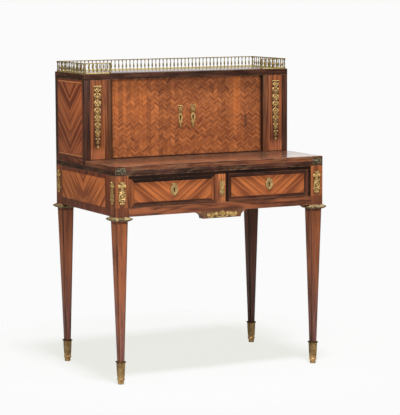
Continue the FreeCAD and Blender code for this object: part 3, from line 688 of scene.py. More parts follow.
@dataclass(frozen=True)
class StileVeneer(Finish):
    """A front stile of the cabinet: dark corner strip, light panel, then reddish and olive strips."""

    corner: float = 0.379
    panel: float = 0.327
    inner: float = 0.3135
    low: float = 0.749
    high: float = 1.0185
    string: float = 0.8 * MM
    reveal: float = 0.3023
    mount: Point2 = (0.353, 0.895)
    mount_half: Point2 = (12 * MM, 104 * MM)
    pale_foot: Point2 = (0.766, 0.796)

    def paint(self, graph: Graph) -> Surface:
        """Strips by their distance from the middle of the desk, soiling with painted shade round the mount,
        and painted shade on the reveal.
        """
        place = graph.place()
        x, y, z = place.split()
        side = abs(x)
        lay = graph.join(z, x, y)
        panel = grain_of(Wood.DARK_TULIPWOOD, lay, 5)
        corner = grain_of(Wood.EBONISED, lay)
        strip = grain_of(Wood.PURPLEWOOD, lay, 2)
        olive = strip.colour.mix(0.55, srgb(78, 56, 34))
        colour = olive.mix(side.rise(self.inner - 1 * MM, self.inner + 1 * MM), strip.colour)
        inside = side.between(self.panel, self.corner) * z.between(self.low, self.high)
        colour = colour.mix(side.rise(self.corner, self.corner + 0.4 * MM), corner.colour)
        colour = colour.mix(inside, panel.colour)
        foot = inside * z.fall(*self.pale_foot)
        colour = colour.mix(foot * 0.6, colour.shade(1.9))
        colour = colour.mix(foot * 0.2, srgb(214, 140, 104))
        upright, level = side.between(self.panel, self.panel + self.string), z.between(self.low, self.low
            + self.string)
        colour = colour.mix(upright.most(level) * inside * 0.5, Wood.BOXWOOD.value.light)
        # Soiling with painted shade round the long mount.
        dirt = graph.effect(DIRT_AND_SHADE, U=side, V=z, Middle_U=self.mount[0], Middle_V=self.mount[1],
            Half_U=self.mount_half[0], Half_V=self.mount_half[1])[0]
        colour = colour.mix(dirt * y.rise(-1.9 * MM, -2.1 * MM) * 0.7, srgb(48, 30, 20))
        # Painted shade on the reveal, the inner face beside the tambour.
        reveal = side.fall(self.reveal, self.reveal + 0.6 * MM) * y.rise(-1.6 * MM, -1 * MM)
        colour = colour.mix(reveal * 0.85, srgb(26, 17, 12))
        return Surface(colour, self.sheen(panel), panel.height)


@dataclass(frozen=True)
class BoardVeneer(Finish):
    """A top board: a field of dark veneer inside a crossbanded border, rubbed along its edges."""

    low: Point3 = (-0.402, -0.2525, 0.711)
    high: Point3 = (0.402, 0.2525, 0.745)
    border: float = 42 * MM
    field: Wood = Wood.KINGWOOD
    edge: Wood = Wood.PURPLEWOOD
    coat: float = 0.8
    edge_coat: float = 0.1
    coat_roughness: float = 0.1
    roughness: float = 0.3
    wear: float = 2.4 * MM
    worn: Colour = srgb(140, 106, 76)
    patches: float = 0.35
    sill: Point2 = (0.0, 0.0)
    bruise: Point2 = (0.0, 0.0)

    def paint(self, graph: Graph) -> Surface:
        """Field, border, edges and wear, and painted shadow along the sill where one is given."""
        place = graph.place()
        x, y, z = place.split()
        to_x = (x - self.low[0]).least(self.high[0] - x)
        to_y = (y - self.low[1]).least(self.high[1] - y)
        middle = grain_of(self.field, graph.join(x, y, z), 1)
        banding_x = grain_of(self.field, graph.join(x, y, z), 4)
        banding_y = grain_of(self.field, graph.join(y, x, z), 6)
        nearer_side = to_x.math("LESS_THAN", to_y)
        banding = banding_y.colour.mix(nearer_side, banding_x.colour)
        nearest = to_x.least(to_y)
        colour = banding.mix(nearest.rise(self.border, self.border + 0.3 * MM), middle.colour)
        line = nearest.between(self.border - 0.6 * MM, self.border + 0.6 * MM)
        colour = colour.mix(line * 0.55, Wood.BOXWOOD.value.light)
        on_edge = nearest.fall(0.4 * MM, 1.2 * MM)
        edge = grain_of(self.edge, graph.join(x + y, z, 0), 8)
        patch = (place * (0.5, 0.5, 1.5)).noise(34, 4, 0.6)
        faded = patch.rise(0.5, 0.66) * self.patches
        edge_colour = edge.colour.mix(faded, self.worn)
        bruised = patch.rise(0.32, 0.46, 0.55, 1)
        colour = colour.shade(bruised * 0.5 + 0.5).mix(on_edge, edge_colour.shade(bruised))
        rub = graph.effect(WEAR, Vector=place, Low=self.low, High=self.high, Width=self.wear)[0]
        colour = colour.mix(rub * 0.6, self.worn)
        # A ragged dark band along the top of the front edge, between two places on X.
        if self.bruise[1] > self.bruise[0]:
            ragged = place.noise(40, 3) * (8 * MM) + z
            dark = on_edge * x.between(*self.bruise, 60 * MM)
            dark = dark * ragged.rise(self.high[2] - 1 * MM, self.high[2] + 2 * MM)
            colour = colour.mix(dark * 0.8, srgb(34, 22, 16))
        # Painted shadow: a dark line along the sill where the tambour stands.
        if self.sill[1] > self.sill[0]:
            dirt = y.between(*self.sill, 1 * MM)
            colour = colour.mix(dirt * 0.85, SHADOW_BROWN)
        rough = on_edge * 0.16 + self.sheen(middle)
        polish = on_edge * (self.edge_coat - self.coat) + self.coat
        return Surface(colour, rough, middle.height, coat=polish)


@dataclass(frozen=True)
class HerringboneVeneer(Finish):
    """Tambour veneer: short pieces laid in a herringbone, one column to a slat. Each piece darkens to
    its joints, and the joints run on from slat to slat in long zigzags, some of them much darker."""

    pitch: float = 15.6 * MM
    row: float = 17 * MM
    angle: float = math.radians(39)
    joint: float = 1.1 * MM
    shadow: float = 6.5 * MM
    busy: Point2 = (0.79, 0.95)
    stain: Point2 = (0.2385, 0.860)
    stain_size: Point2 = (6.5 * MM, 25 * MM)
    grime: Point2 = (0.2935, 0.3005)
    behind_stile: float = 8.5 * MM
    foot: Point2 = (0.7475, 0.7505)
    keyhole_side: Point2 = (0.0208, 0.0292)
    keyhole_height: Point2 = (0.8712, 0.888)
    roughness: float = 0.46
    coat: float = 0.15

    def paint(self, graph: Graph) -> Surface:
        """Pieces by column and row, their joints, the tone of each slat, and painted shade by the stiles
        and at the foot.
        """
        x, _, z = graph.value("ShaderNodeAttribute", "Vector", attribute_name=LAID).split()
        side = abs(x)
        hand = x.math("SIGN")
        column = (side / self.pitch).math("FLOOR")
        turn = column.math("MODULO", 2) * -2 + 1
        zigzag = side.math("PINGPONG", self.pitch)
        across = zigzag * math.tan(self.angle) + z
        share = across / self.row
        row = share.math("FLOOR")
        within = share.math("FRACT")
        piece = graph.join(column, row, hand).chance()
        lay = graph.effect(LAY, U=side * turn, V=z, Angle=-self.angle)[0]
        apart = piece * 0.7
        grain = grain_of(Wood.CUT_TULIPWOOD, lay + graph.join(apart, apart, 0))
        slat = graph.join(column, hand, 3).chance()
        bright = slat.rise(0.45, 0.9) * z.rise(0.80, 0.93) * side.rise(0.08, 0.2)
        colour = grain.colour.mix(bright * 0.5, srgb(206, 116, 54))
        nearest = share.math("ROUND")
        strong = graph.join(nearest, hand, 7).chance()
        patch = graph.join(side, z, hand).noise(14, 2)
        strong = strong.rise(0.2, 0.8, 0.3, 0.9) * patch.rise(0.3, 0.6, 0.4, 1)
        strong = strong * z.between(*self.busy, 80 * MM).rise(0, 1, 0.5, 1)
        edge = within.least(1 - within) * self.row
        shadow = edge.fall(0, self.shadow) * strong
        joint = edge.fall(0.2 * self.joint, self.joint) * 0.4
        tone = piece * 0.14 + 0.93
        tone = tone * (slat * 0.2 + 0.9)
        colour = colour.shade(tone)
        colour = colour.mix(joint.most(shadow * 0.62), srgb(96, 44, 24))
        (u, v), (du, dv) = self.stain, self.stain_size
        stained = x.between(u - du, u + du, 2 * MM) * z.between(v - dv, v + dv, 14 * MM)
        colour = colour.mix(stained * 0.6, srgb(78, 48, 36))
        # Painted shade where the slats run in behind the stiles and along the foot of the tambour.
        near = x.math("LESS_THAN", 0) * self.behind_stile + side
        grime = near.rise(*self.grime) * side.fall(0.302, 0.303)
        grime = grime.most(z.fall(*self.foot))
        colour = colour.mix(grime * 0.85, SHADOW_BROWN)
        # Painted shade in the keyhole: near black behind the escutcheon.
        hole = side.between(*self.keyhole_side) * z.between(*self.keyhole_height)
        colour = colour.mix(hole, HOLE_SHADE)
        return Surface(colour, self.sheen(grain), grain.height - joint)


@dataclass(frozen=True)
class Brass(Finish):
    """Cast brass with an old patina. A mesh that is chased carries its relief in an attribute."""

    bright: Colour = srgb(226, 190, 116)
    dull: Colour = srgb(150, 118, 70)
    soot: Colour = srgb(58, 42, 22)
    scale: float = 70.0
    dulling: float = 0.6
    roughness: float = 0.34
    metal: float = 0.72
    relief: bool = False
    tarnish: Point2 = (0.0, 0.0)
    rim: float = 0.0
    coat: float = 0.0

    def paint(self, graph: Graph) -> Surface:
        """Metal, darker where the relief is low, and towards its rim if it has one."""
        recess: Feed = 0.0
        # Darker towards the top of a sabot, and nearly black at its rim.
        if self.rim:
            z = graph.place().split()[2]
            rim = z.rise(self.rim - 0.5 * MM, self.rim + 0.5 * MM, 0, 0.9)
            recess = z.rise(*self.tarnish, 0, 0.42).most(rim)
        if self.relief:
            recess = graph.value("ShaderNodeAttribute", "Fac", attribute_name=RELIEF).fall(0.15, 0.8)
        patina = graph.effect(PATINA, Vector=graph.place(), Scale=self.scale, Dulling=self.dulling,
            Recess=recess, Roughness=self.roughness, Bright=self.bright, Dull=self.dull, Soot=self.soot)
        return Surface(*patina, metallic=self.metal, bump=0.2, bump_depth=0.15 * MM)


@dataclass(frozen=True)
class Steel(Finish):
    """Filed steel of a lock."""

    roughness: float = 0.35
    coat: float = 0.0

    def paint(self, graph: Graph) -> Surface:
        """File marks one way under spots of rust."""
        place = graph.place()
        marks = (place * (0.1, 1, 1)).noise(2500, 2)
        spots = place.noise(180.0, 4.0).rise(0.56, 0.7)
        colour = graph.mix(marks, srgb(120, 118, 112), srgb(172, 170, 164))
        colour = colour.mix(spots * 0.6, srgb(92, 62, 42))
        rough = spots * 0.3 + self.roughness
        return Surface(colour, rough, marks, metallic=1, bump=0.15)


@dataclass(frozen=True)
class Leather(Finish):
    """Writing leather with a gilt line tooled near its edges."""

    low: Point2 = (-0.357, -0.2165)
    high: Point2 = (0.357, -0.0395)
    line: float = 14 * MM
    line_width: float = 1.1 * MM
    roughness: float = 0.5
    coat: float = 0.1

    def paint(self, graph: Graph) -> Surface:
        """Pebbled grain with worn patches, and the double gilt line."""
        place = graph.place()
        x, y, _ = place.split()
        pebble = graph.value("ShaderNodeTexVoronoi", "Distance", {"Vector": place, "Scale": 700},
            feature="DISTANCE_TO_EDGE")
        cloud = place.noise(9, 4)
        colour = graph.mix(cloud.rise(0.4, 0.7), srgb(96, 40, 28), srgb(122, 60, 40))
        to_x = (x - self.low[0]).least(self.high[0] - x)
        to_y = (y - self.low[1]).least(self.high[1] - y)
        inward = to_x.least(to_y)
        first = inward.between(self.line, self.line + self.line_width)
        second = inward.between(self.line + 4 * MM, self.line + 4 * MM + self.line_width / 2)
        gilt = first.most(second) * place.noise(260).rise(0.34, 0.5)
        colour = colour.mix(gilt, srgb(206, 166, 92))
        return Surface(colour, cloud * 0.2 + (self.roughness - 0.1), pebble, metallic=gilt, bump=0.5,
            bump_depth=0.3 * MM)


@dataclass(frozen=True)
class Canvas(Finish):
    """Linen glued behind the slats."""

    roughness: float = 0.85
    coat: float = 0.0

    def paint(self, graph: Graph) -> Surface:
        """A plain weave."""
        x, _, z = graph.place().split()
        threads = 1900
        warp = (x * (threads * math.tau / 2)).math("SINE")
        weft = (z * (threads * math.tau / 2)).math("SINE")
        weave = warp * weft
        colour = graph.mix(weave.rise(-1.0, 1.0), srgb(128, 112, 86), srgb(176, 160, 128))
        return Surface(colour, self.roughness, weave, bump=0.4)


# --- Meshes ---------------------------------------------------------------------------------------
def slot_of(node: str) -> str:
    """The material slot that the record gives a CAD node."""
    return frame["nodes"][node].data.materials[0].name


def new_piece(name: str, vertices: Sequence[Point3], faces: Sequence[Sequence[int]], finish: Finish,
        relief: Sequence[float] = ()) -> bpy.types.Object:
    """Makes an object of one closed mesh or more, with its faces outwards.

    Args:
        name: Name of the piece.
        vertices: Its vertices, in the frame.
        faces: Its faces.
        finish: What it is finished with.
        relief: Height of each vertex over its ground, 0 to 1, where the piece is chased.

    Returns:
        The object, in the scene.
    """
    mesh = bpy.data.meshes.new(name)
    mesh.from_pydata([tuple(v) for v in vertices], [], [tuple(f) for f in faces])
    if len(relief):
        values = mesh.attributes.new(RELIEF, "FLOAT", "POINT")
        values.data.foreach_set("value", list(relief))
    shape = bmesh.new()
    shape.from_mesh(mesh)
    bmesh.ops.recalc_face_normals(shape, faces=shape.faces)
    shape.to_mesh(mesh)
    shape.free()
    return add_mesh(name, mesh, finish)


def add_mesh(name: str, mesh: bpy.types.Mesh, finish: Finish) -> bpy.types.Object:
    """Puts a mesh in the scene with its finish, smooth but for its sharp edges."""
    mesh.shade_smooth()
    mesh.set_sharp_from_angle(angle=SMOOTH_ANGLE)
    mesh.materials.clear()
    mesh.materials.append(finish.material())
    piece = bpy.data.objects.new(name, mesh)
    bpy.context.scene.collection.objects.link(piece)
    return piece


def settle(piece: bpy.types.Object, body: str, *nodes: str, slot: str = "") -> bpy.types.Object:
    """Makes a piece ride on its body and stand for CAD nodes, which it hides.

    Args:
        piece: The piece.
        body: Name of the body.
        *nodes: CAD nodes that it replaces.
        slot: Not used.

    Returns:
        The piece.
    """
    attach(piece, body)
    if nodes:
        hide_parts(*nodes)
    slot or slot_of(nodes[0])
    log.info("%s rides on %s: %d faces", piece.name, body, len(piece.data.polygons))
    return piece


def body_of(node: str) -> str:
    """Name of the body that a CAD node rides on."""
    return frame["nodes"][node]["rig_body"]


def dress(finish: Finish, *nodes: str) -> None:
    """Gives CAD nodes that stay as they are a finish.

    Args:
        finish: The finish.
        *nodes: Names of the nodes.
    """
    for name in nodes:
        mesh = frame["nodes"][name].data
        for index in range(len(mesh.materials)):
            mesh.materials[index] = finish.material()
        log.info("%s dressed in %s", name, finish.name)


def eased(node: str, finish: Finish, round_off: float = 0.8 * MM) -> bpy.types.Object:
    """Replaces a CAD node by a copy with its outward edges rounded, as planed and sanded wood has.

    Args:
        node: Name of the node.
        finish: Its finish.
        round_off: How far the rounding reaches from an edge.

    Returns:
        The new piece.
    """
    sharp = math.radians(28)
    mesh = frame["nodes"][node].data.copy()
    shape = bmesh.new()
    shape.from_mesh(mesh)
    bmesh.ops.remove_doubles(shape, verts=shape.verts, dist=0.002 * MM)
    bmesh.ops.dissolve_limit(shape, angle_limit=math.radians(0.5), verts=shape.verts, edges=shape.edges)
    edges = [e for e in shape.edges if len(e.link_faces) == 2 and e.is_convex
        and e.calc_face_angle(0) > sharp and e.calc_length() > 3 * round_off]
    bmesh.ops.bevel(shape, geom=edges, offset=round_off, segments=2, profile=0.6, affect="EDGES",
        clamp_overlap=True)
    shape.to_mesh(mesh)
    shape.free()
    piece = add_mesh(node + "_eased", mesh, finish)
    return settle(piece, body_of(node), node)


Place = Callable[[float, float, float], Point3]


def bands(start: int, rings: int, size: int, closed: bool = False) -> list[Face]:
    """Faces between rings of points.

    Args:
        start: Number of the first point.
        rings: How many rings there are.
        size: How many points each has.
        closed: Whether the last ring joins the first, in place of a cap at either end.

    Returns:
        The faces.
    """
    faces: list[Face] = []
    for i in range(rings if closed else rings - 1):
        a, b = start + i * size, start + (i + 1) % rings * size
        faces += [(a + k, a + (k + 1) % size, b + (k + 1) % size, b + k) for k in range(size)]
    if not closed:
        last = start + (rings - 1) * size
        faces += [tuple(range(start, start + size)), tuple(range(last, last + size))]
    return faces


def towards(angle: float) -> Vector:
    """The unit vector at an angle."""
    return Vector((math.cos(angle), math.sin(angle)))


def moulded(path: Sequence[Point2], section: Sequence[Point2], place: Place, closed: bool) -> Shape:
    """Runs a section along a path of straight stretches with mitred corners.

    Args:
        path: Corners of the path in its plane.
        section: Closed outline of the section: how far to the right of the path, and how high.
        place: Puts a point of the plane and its height into the frame.
        closed: Whether the path comes back to its start.

    Returns:
        The vertices and faces.
    """
    corners = [Vector(p) for p in path]
    count = len(corners)
    vertices: list[Point3] = []
    for i, corner in enumerate(corners):
        before = corners[i - 1] if closed or i else corner * 2 - corners[i + 1]
        after = corners[(i + 1) % count] if closed or i + 1 < count else corner * 2 - corners[i - 1]
        into, out = (corner - before).normalized(), (after - corner).normalized()
        into_side, out_side = Vector((into.y, -into.x)), Vector((out.y, -out.x))
        mitre = (into_side + out_side).normalized()
        mitre /= mitre.dot(into_side)
        for offset, height in section:
            vertices.append(place(*(corner + mitre * offset), height))
    return vertices, bands(0, count, len(section), closed)


def lofted(rings: Sequence[Sequence[Point3]]) -> Shape:
    """Skins rings of as many points each, closed at both ends."""
    return [p for ring in rings for p in ring], bands(0, len(rings), len(rings[0]))


def soft_square(x: float, y: float, z: float, half: float, squareness: float,
        sides: int = 32) -> list[Point3]:
    """A level ring between a circle and a square.

    Args:
        x: Its centre.
        y: Its centre.
        z: Its height.
        half: Half its width.
        squareness: 2 for a circle, and a square as it grows.
        sides: How many points it has.

    Returns:
        The points.
    """
    ring = []
    for k in range(sides):
        angle = math.tau * (k + 0.5) / sides
        c, s = math.cos(angle), math.sin(angle)
        reach = half / (abs(c) ** squareness + abs(s) ** squareness) ** (1 / squareness)
        ring.append((x + reach * c, y + reach * s, z))
    return ring


def merged(parts: Iterable[Shape]) -> Shape:
    """Puts several lists of vertices and faces into one."""
    vertices: list[Point3] = []
    faces: list[Face] = []
    for points, sides in parts:
        faces += [tuple(i + len(vertices) for i in face) for face in sides]
        vertices += points
    return vertices, faces


def islands(node: str) -> list[tuple[Vector, Vector]]:
    """Boxes of the separate solids of a CAD node.

    Args:
        node: Name of the node.

    Returns:
        The lowest and highest corner of each solid, from left to right.
    """
    shape = bmesh.new()
    shape.from_mesh(frame["nodes"][node].data)
    bmesh.ops.remove_doubles(shape, verts=shape.verts, dist=0.002 * MM)
    left = set(shape.verts)
    boxes = []
    while left:
        grown = [left.pop()]
        found = list(grown)
        while grown:
            for edge in grown.pop().link_edges:
                for vertex in edge.verts:
                    if vertex in left:
                        left.remove(vertex)
                        grown.append(vertex)
                        found.append(vertex)
        low = Vector([min(v.co[i] for v in found) for i in range(3)])
        high = Vector([max(v.co[i] for v in found) for i in range(3)])
        boxes.append((low, high))
    shape.free()
    return sorted(boxes, key=lambda b: tuple(round(c, 5) for c in (b[0] + b[1])))


# --- Chased ornament ------------------------------------------------------------------------------
class Section(Enum):
    """Section across a strip of ornament: place across and share of the height."""

    ROUND = ((-1, 0.12), (-0.8, 0.62), (-0.42, 0.93), (0, 1), (0.42, 0.93), (0.8, 0.62), (1, 0.12))
    VEINED = ((-1, 0.18), (-0.72, 0.85), (-0.3, 0.78), (0, 0.42), (0.3, 0.78), (0.72, 0.85), (1, 0.18))
    RIDGED = ((-1, 0.3), (-0.6, 0.42), (-0.25, 0.8), (0, 1), (0.25, 0.8), (0.6, 0.42), (1, 0.3))


def curl(start: Point2, heading: float, length: float, turn: float, tighten: float = 1.6,
        steps: int = 22) -> list[Vector]:
    """A line that bends more and more, as a tendril does.

    Args:
        start: Where it starts.
        heading: Way it starts in, in degrees from the first axis.
        length: Its length.
        turn: How far it turns in all, in degrees, left if positive.
        tighten: 0 for an arc, and more to leave the bend to its end.
        steps: How many stretches it has.

    Returns:
        Its points.
    """
    points = [Vector(start)]
    for i in range(steps):
        share = (i + 0.5) / steps
        angle = math.radians(heading + turn * share ** (1 + tighten))
        points.append(points[-1] + towards(angle) * (length / steps))
    return points


def volute(foot: Point2, centre: Point2, radius: float, inner: float, start: float, turn: float,
        steps: int = 32) -> list[Vector]:
    """A stem that rises from its foot and winds in to an eye.

    Args:
        foot: Where the stem starts.
        centre: The eye.
        radius: How far from the eye the winding starts.
        inner: How far from it the winding ends.
        start: Where on the circle it starts, in degrees from the first axis.
        turn: How far it winds in all, in degrees, left if positive.
        steps: How many stretches the winding has.

    Returns:
        Its points.
    """
    points = [Vector(foot)]
    for i in range(steps + 1):
        share = i / steps
        angle = math.radians(start + turn * share)
        reach = radius + (inner - radius) * share
        points.append(Vector(centre) + towards(angle) * reach)
    return points


class Relief:
    """Chased ornament on a plane, made of closed raised shapes. Lengths are in millimetres, the first
    axis runs across the mount, the second up it, and heights stand out from the wood."""

    def __init__(self, height: float) -> None:
        """Takes the height that counts as fully raised."""
        self.height = height
        self.points: list[Point3] = []
        self.faces: list[Face] = []

    def strip(self, path: Sequence[Sequence[float]], widths: Sequence[float], heights: Sequence[float],
            section: Section = Section.ROUND) -> None:
        """Raises a strip along a path.

        Args:
            path: Its middle line.
            widths: Half width at each point.
            heights: Height at each point.
            section: Its section.
        """
        start, last = len(self.points), len(path) - 1
        path = [Vector(point) for point in path]
        for i, point in enumerate(path):
            ahead = path[min(i + 1, last)] - path[max(i - 1, 0)]
            along = ahead.normalized() if ahead.length else Vector((1, 0))
            side = Vector((along.y, -along.x))
            for s, h in ((-1, 0), *section.value, (1, 0)):
                self.points.append((*(point + side * (s * widths[i])), h * heights[i]))
        self.faces += bands(start, len(path), len(section.value) + 2)

    def leaf(self, path: Sequence[Vector], half_width: float, height: float, lobes: int = 0,
            fullest: float = 0.45) -> None:
        """Raises a leaf with a vein down its middle.

        Args:
            path: Its middle line, from stalk to tip.
            half_width: Half its width where it is widest.
            height: Its height there.
            lobes: How many teeth its edges have.
            fullest: Where along it is widest.
        """
        power = math.log(0.5) / math.log(fullest)
        widths, heights = [], []
        for i in range(len(path)):
            share = i / (len(path) - 1)
            swell = max(math.sin(math.pi * share ** power), 0) ** 0.8
            tooth = 1 - 0.28 * abs(math.sin(math.pi * lobes * share)) if lobes else 1
            widths.append(max(half_width * swell * tooth, 0.12))
            heights.append(height * (0.35 + 0.65 * swell) * (1 - 0.25 * (1 - tooth)))
        self.strip(path, widths, heights, Section.VEINED)

    def tendril(self, path: Sequence[Vector], half_width: float, height: float, eye: float = 1.5) -> None:
        """Raises a stem that thins along its path and ends in a round eye."""
        shares = [i / (len(path) - 1) for i in range(len(path))]
        self.strip(path, [half_width * (1 - 0.55 * s) for s in shares],
            [height * (0.75 + 0.25 * s) for s in shares])
        self.bead(path[-1], half_width * eye, height * 1.1)

    def bead(self, centre: Sequence[float], radius: float, height: float) -> None:
        """Raises a round bead."""
        self.flower(centre, radius, height, 0)

    def flower(self, centre: Sequence[float], radius: float, height: float, petals: int) -> None:
        """Raises a flower with a round heart, or a plain bead where it has no petals.

        Args:
            centre: Its centre.
            radius: Its radius.
            height: Its height.
            petals: How many petals it has, or 0.
        """
        sides = max(12, 6 * petals)
        levels = ((1, 0), (1, 0.25), (0.9, 0.72), (0.7, 0.92), (0.45, 1), (0.2, 1))
        if petals:
            levels = ((1, 0), (1, 0.25), (0.88, 0.68), (0.62, 0.7), (0.36, 0.4), (0.28, 0.8), (0.12, 1))
        start = len(self.points)
        for share, rise in levels:
            for k in range(sides):
                angle = math.tau * k / sides
                petal = abs(math.cos(petals * angle / 2)) ** 0.5 if petals else 1
                outer = share > 0.4
                reach = radius * share * ((0.72 + 0.28 * petal) if outer else 1)
                crest = height * rise * ((0.6 + 0.4 * petal) if outer else 1)
                self.points.append((centre[0] + reach * math.cos(angle), centre[1] + reach
                    * math.sin(angle), crest))
        self.faces += bands(start, len(levels), sides)

    def ring(self, centre: Point2, outer: Callable[[float], float], inner: Callable[[float], float],
            levels: Sequence[Point2], sides: int = 64) -> None:
        """Raises a plate round an opening.

        Args:
            centre: The middle of the opening.
            outer: Reach of its outer edge by angle.
            inner: Reach of the opening by angle.
            levels: Share of the way from the opening to the outer edge, and height, all round the section.
            sides: How many points it has round.
        """
        self.faces += bands(len(self.points), sides, len(levels), closed=True)
        for k in range(sides):
            angle = math.tau * k / sides
            hole, rim = inner(angle), outer(angle)
            for share, height in levels:
                reach = hole + (rim - hole) * share
                self.points.append((centre[0] + reach * math.cos(angle), centre[1] + reach
                    * math.sin(angle), height))

    def hoop(self, centre: Point2, outer: float, inner: float, height: float) -> None:
        """Raises a round moulded ring by its outer and inner radius."""
        levels = [(share, rise * height) for share, rise in ((0, 0), (0, 0.5), (0.2, 0.85), (0.5, 1),
            (0.8, 0.85), (1, 0.5), (1, 0))]
        self.ring(centre, lambda angle: outer, lambda angle: inner, levels, 32)

    def pair(self, kind: Callable[..., None], *given: object) -> None:
        """Raises a shape and its mirror image across the middle of the mount.

        Args:
            kind: Method that raises the shape.
            *given: What it takes.
        """
        for flip in (1, -1):
            half = Relief(self.height)
            kind(half, *given)
            self.faces += [tuple(i + len(self.points) for i in face) for face in half.faces]
            self.points += [(u * flip, v, w) for u, v, w in half.points]

    def spray(self, *shoots: tuple) -> None:
        """Raises leaves and tendrils on curled lines.

        Args:
            *shoots: For each, 1 or 2 of it, a leaf or tendril, all that curl() takes with the start as two
                numbers, and what the leaf or tendril takes.
        """
        for count, kind, u, v, heading, length, turn, tighten, steps, *sizes in shoots:
            given = curl((u, v), heading, length, turn, tighten, steps), *sizes
            if count == 2:
                self.pair(kind, *given)
            else:
                kind(self, *given)

    def placed(self, origin: Sequence[float], right: Point3, out: Point3) -> tuple[Shape, list[float]]:
        """Puts the ornament on a wall.

        Args:
            origin: Where its own origin goes, in metres.
            right: The way across it, to the right of someone who faces it.
            out: The way that it stands out.

        Returns:
            The vertices and faces, and the share of the full height at each vertex.
        """
        base, across, forth = Vector(origin), Vector(right) * MM, Vector(out) * MM
        up = Vector((0.0, 0.0, MM))
        vertices = [tuple(base + across * u + up * v + forth * w) for u, v, w in self.points]
        return (vertices, self.faces), [min(w / self.height, 1) for _, _, w in self.points]


LEAF, TENDRIL = Relief.leaf, Relief.tendril


def chased(node: str, name: str, parts: Sequence[tuple[Shape, list[float]]], finish: Finish) -> None:
    """Makes one piece of placed ornament, in place of a CAD node.

    Args:
        node: Name of the node.
        name: Name of the piece.
        parts: What Relief.placed gave.
        finish: Its finish.
    """
    heights = [height for _, shares in parts for height in shares]
    settle(new_piece(name, *merged([shape for shape, _ in parts]), finish, heights), body_of(node), node)


# --- Repeated pieces ------------------------------------------------------------------------------
class Instancer:
    """Geometry nodes that set copies of one shape on the vertices of a mesh, each leaning one way and
    turned a little differently, and keep the resting place of every point in an attribute."""

    INPUTS = {"Geometry": "Geometry", "Shape": "Object", "Finish": "Material", "Turn": "Float",
        "Scale": "Vector", "Lean": "Vector", "Seed": "Int"}

    def __init__(self) -> None:
        """Builds the node tree with its named inputs."""
        self.tree = bpy.data.node_groups.new("Copies on points", "GeometryNodeTree")
        self.tree.interface.new_socket("Geometry", in_out="OUTPUT", socket_type="NodeSocketGeometry")
        self.sockets = {name: self.tree.interface.new_socket(name, in_out="INPUT",
            socket_type="NodeSocket" + kind).identifier for name, kind in self.INPUTS.items()}
        graph = Graph(self.tree)
        start = graph.add("NodeGroupInput")
        given = {name: Value(graph, start.outputs[name]) for name in self.INPUTS}
        shape = graph.value("GeometryNodeObjectInfo", "Geometry", {"Object": given["Shape"]})
        turn = graph.value("FunctionNodeRandomValue", FLOAT_RESULT,
            {FLOAT_LEAST: given["Turn"] * -1.0, FLOAT_MOST: given["Turn"], "Seed": given["Seed"]},
            data_type="FLOAT")
        copies = graph.value("GeometryNodeInstanceOnPoints", 0,
            {"Points": given["Geometry"], "Instance": shape, "Rotation": given["Lean"],
            "Scale": given["Scale"]})
        turned = graph.value("GeometryNodeRotateInstances", 0,
            {"Instances": copies, "Rotation": graph.join(0, 0, turn), "Local Space": True})
        whole = graph.value("GeometryNodeRealizeInstances", 0, {"Geometry": turned})
        kept = graph.value("GeometryNodeStoreNamedAttribute", 0,
            {"Geometry": whole, "Name": LAID, "Value": graph.value("GeometryNodeInputPosition")},
            data_type="FLOAT_VECTOR", domain="POINT")
        painted = graph.value("GeometryNodeSetMaterial", 0, {"Geometry": kept, "Material": given["Finish"]})
        graph.add("NodeGroupOutput", {"Geometry": painted})

    def piece(self, name: str, spots: Sequence[Point3], shape: Shape, finish: Finish, turn: float = 0.0,
            scale: Point3 = (1.0, 1.0, 1.0), lean: Point3 = (0.0, 0.0, 0.0),
            seed: int = 0) -> bpy.types.Object:
        """Sets a shape on every spot.

        Args:
            name: Name of the piece.
            spots: Where the copies go.
            shape: The shape about its own origin.
            finish: Their finish.
            turn: Most that a copy is turned about its own upright, in radians.
            scale: How much the shape is stretched.
            lean: How every copy leans, as three angles.
            seed: Seed of the turns.

        Returns:
            The piece with all the copies as plain mesh.
        """
        pattern = new_piece(name + "_pattern", *shape, finish)
        points = bpy.data.meshes.new(name + "_spots")
        points.from_pydata([tuple(s) for s in spots], [], [])
        holder = bpy.data.objects.new(name + "_holder", points)
        bpy.context.scene.collection.objects.link(holder)
        modifier = holder.modifiers.new("Copies", "NODES")
        modifier.node_group = self.tree
        for key, value in {"Shape": pattern, "Finish": finish.material(), "Turn": turn, "Scale": scale,
                "Lean": lean, "Seed": seed}.items():
            modifier[self.sockets[key]] = value
        bpy.context.view_layer.update()
        mesh = bpy.data.meshes.new_from_object(holder.evaluated_get(bpy.context.evaluated_depsgraph_get()))
        holder.modifiers.remove(modifier)
        for extra in (holder, pattern):
            bpy.data.objects.remove(extra)
        mesh.name = name
        return add_mesh(name, mesh, finish)


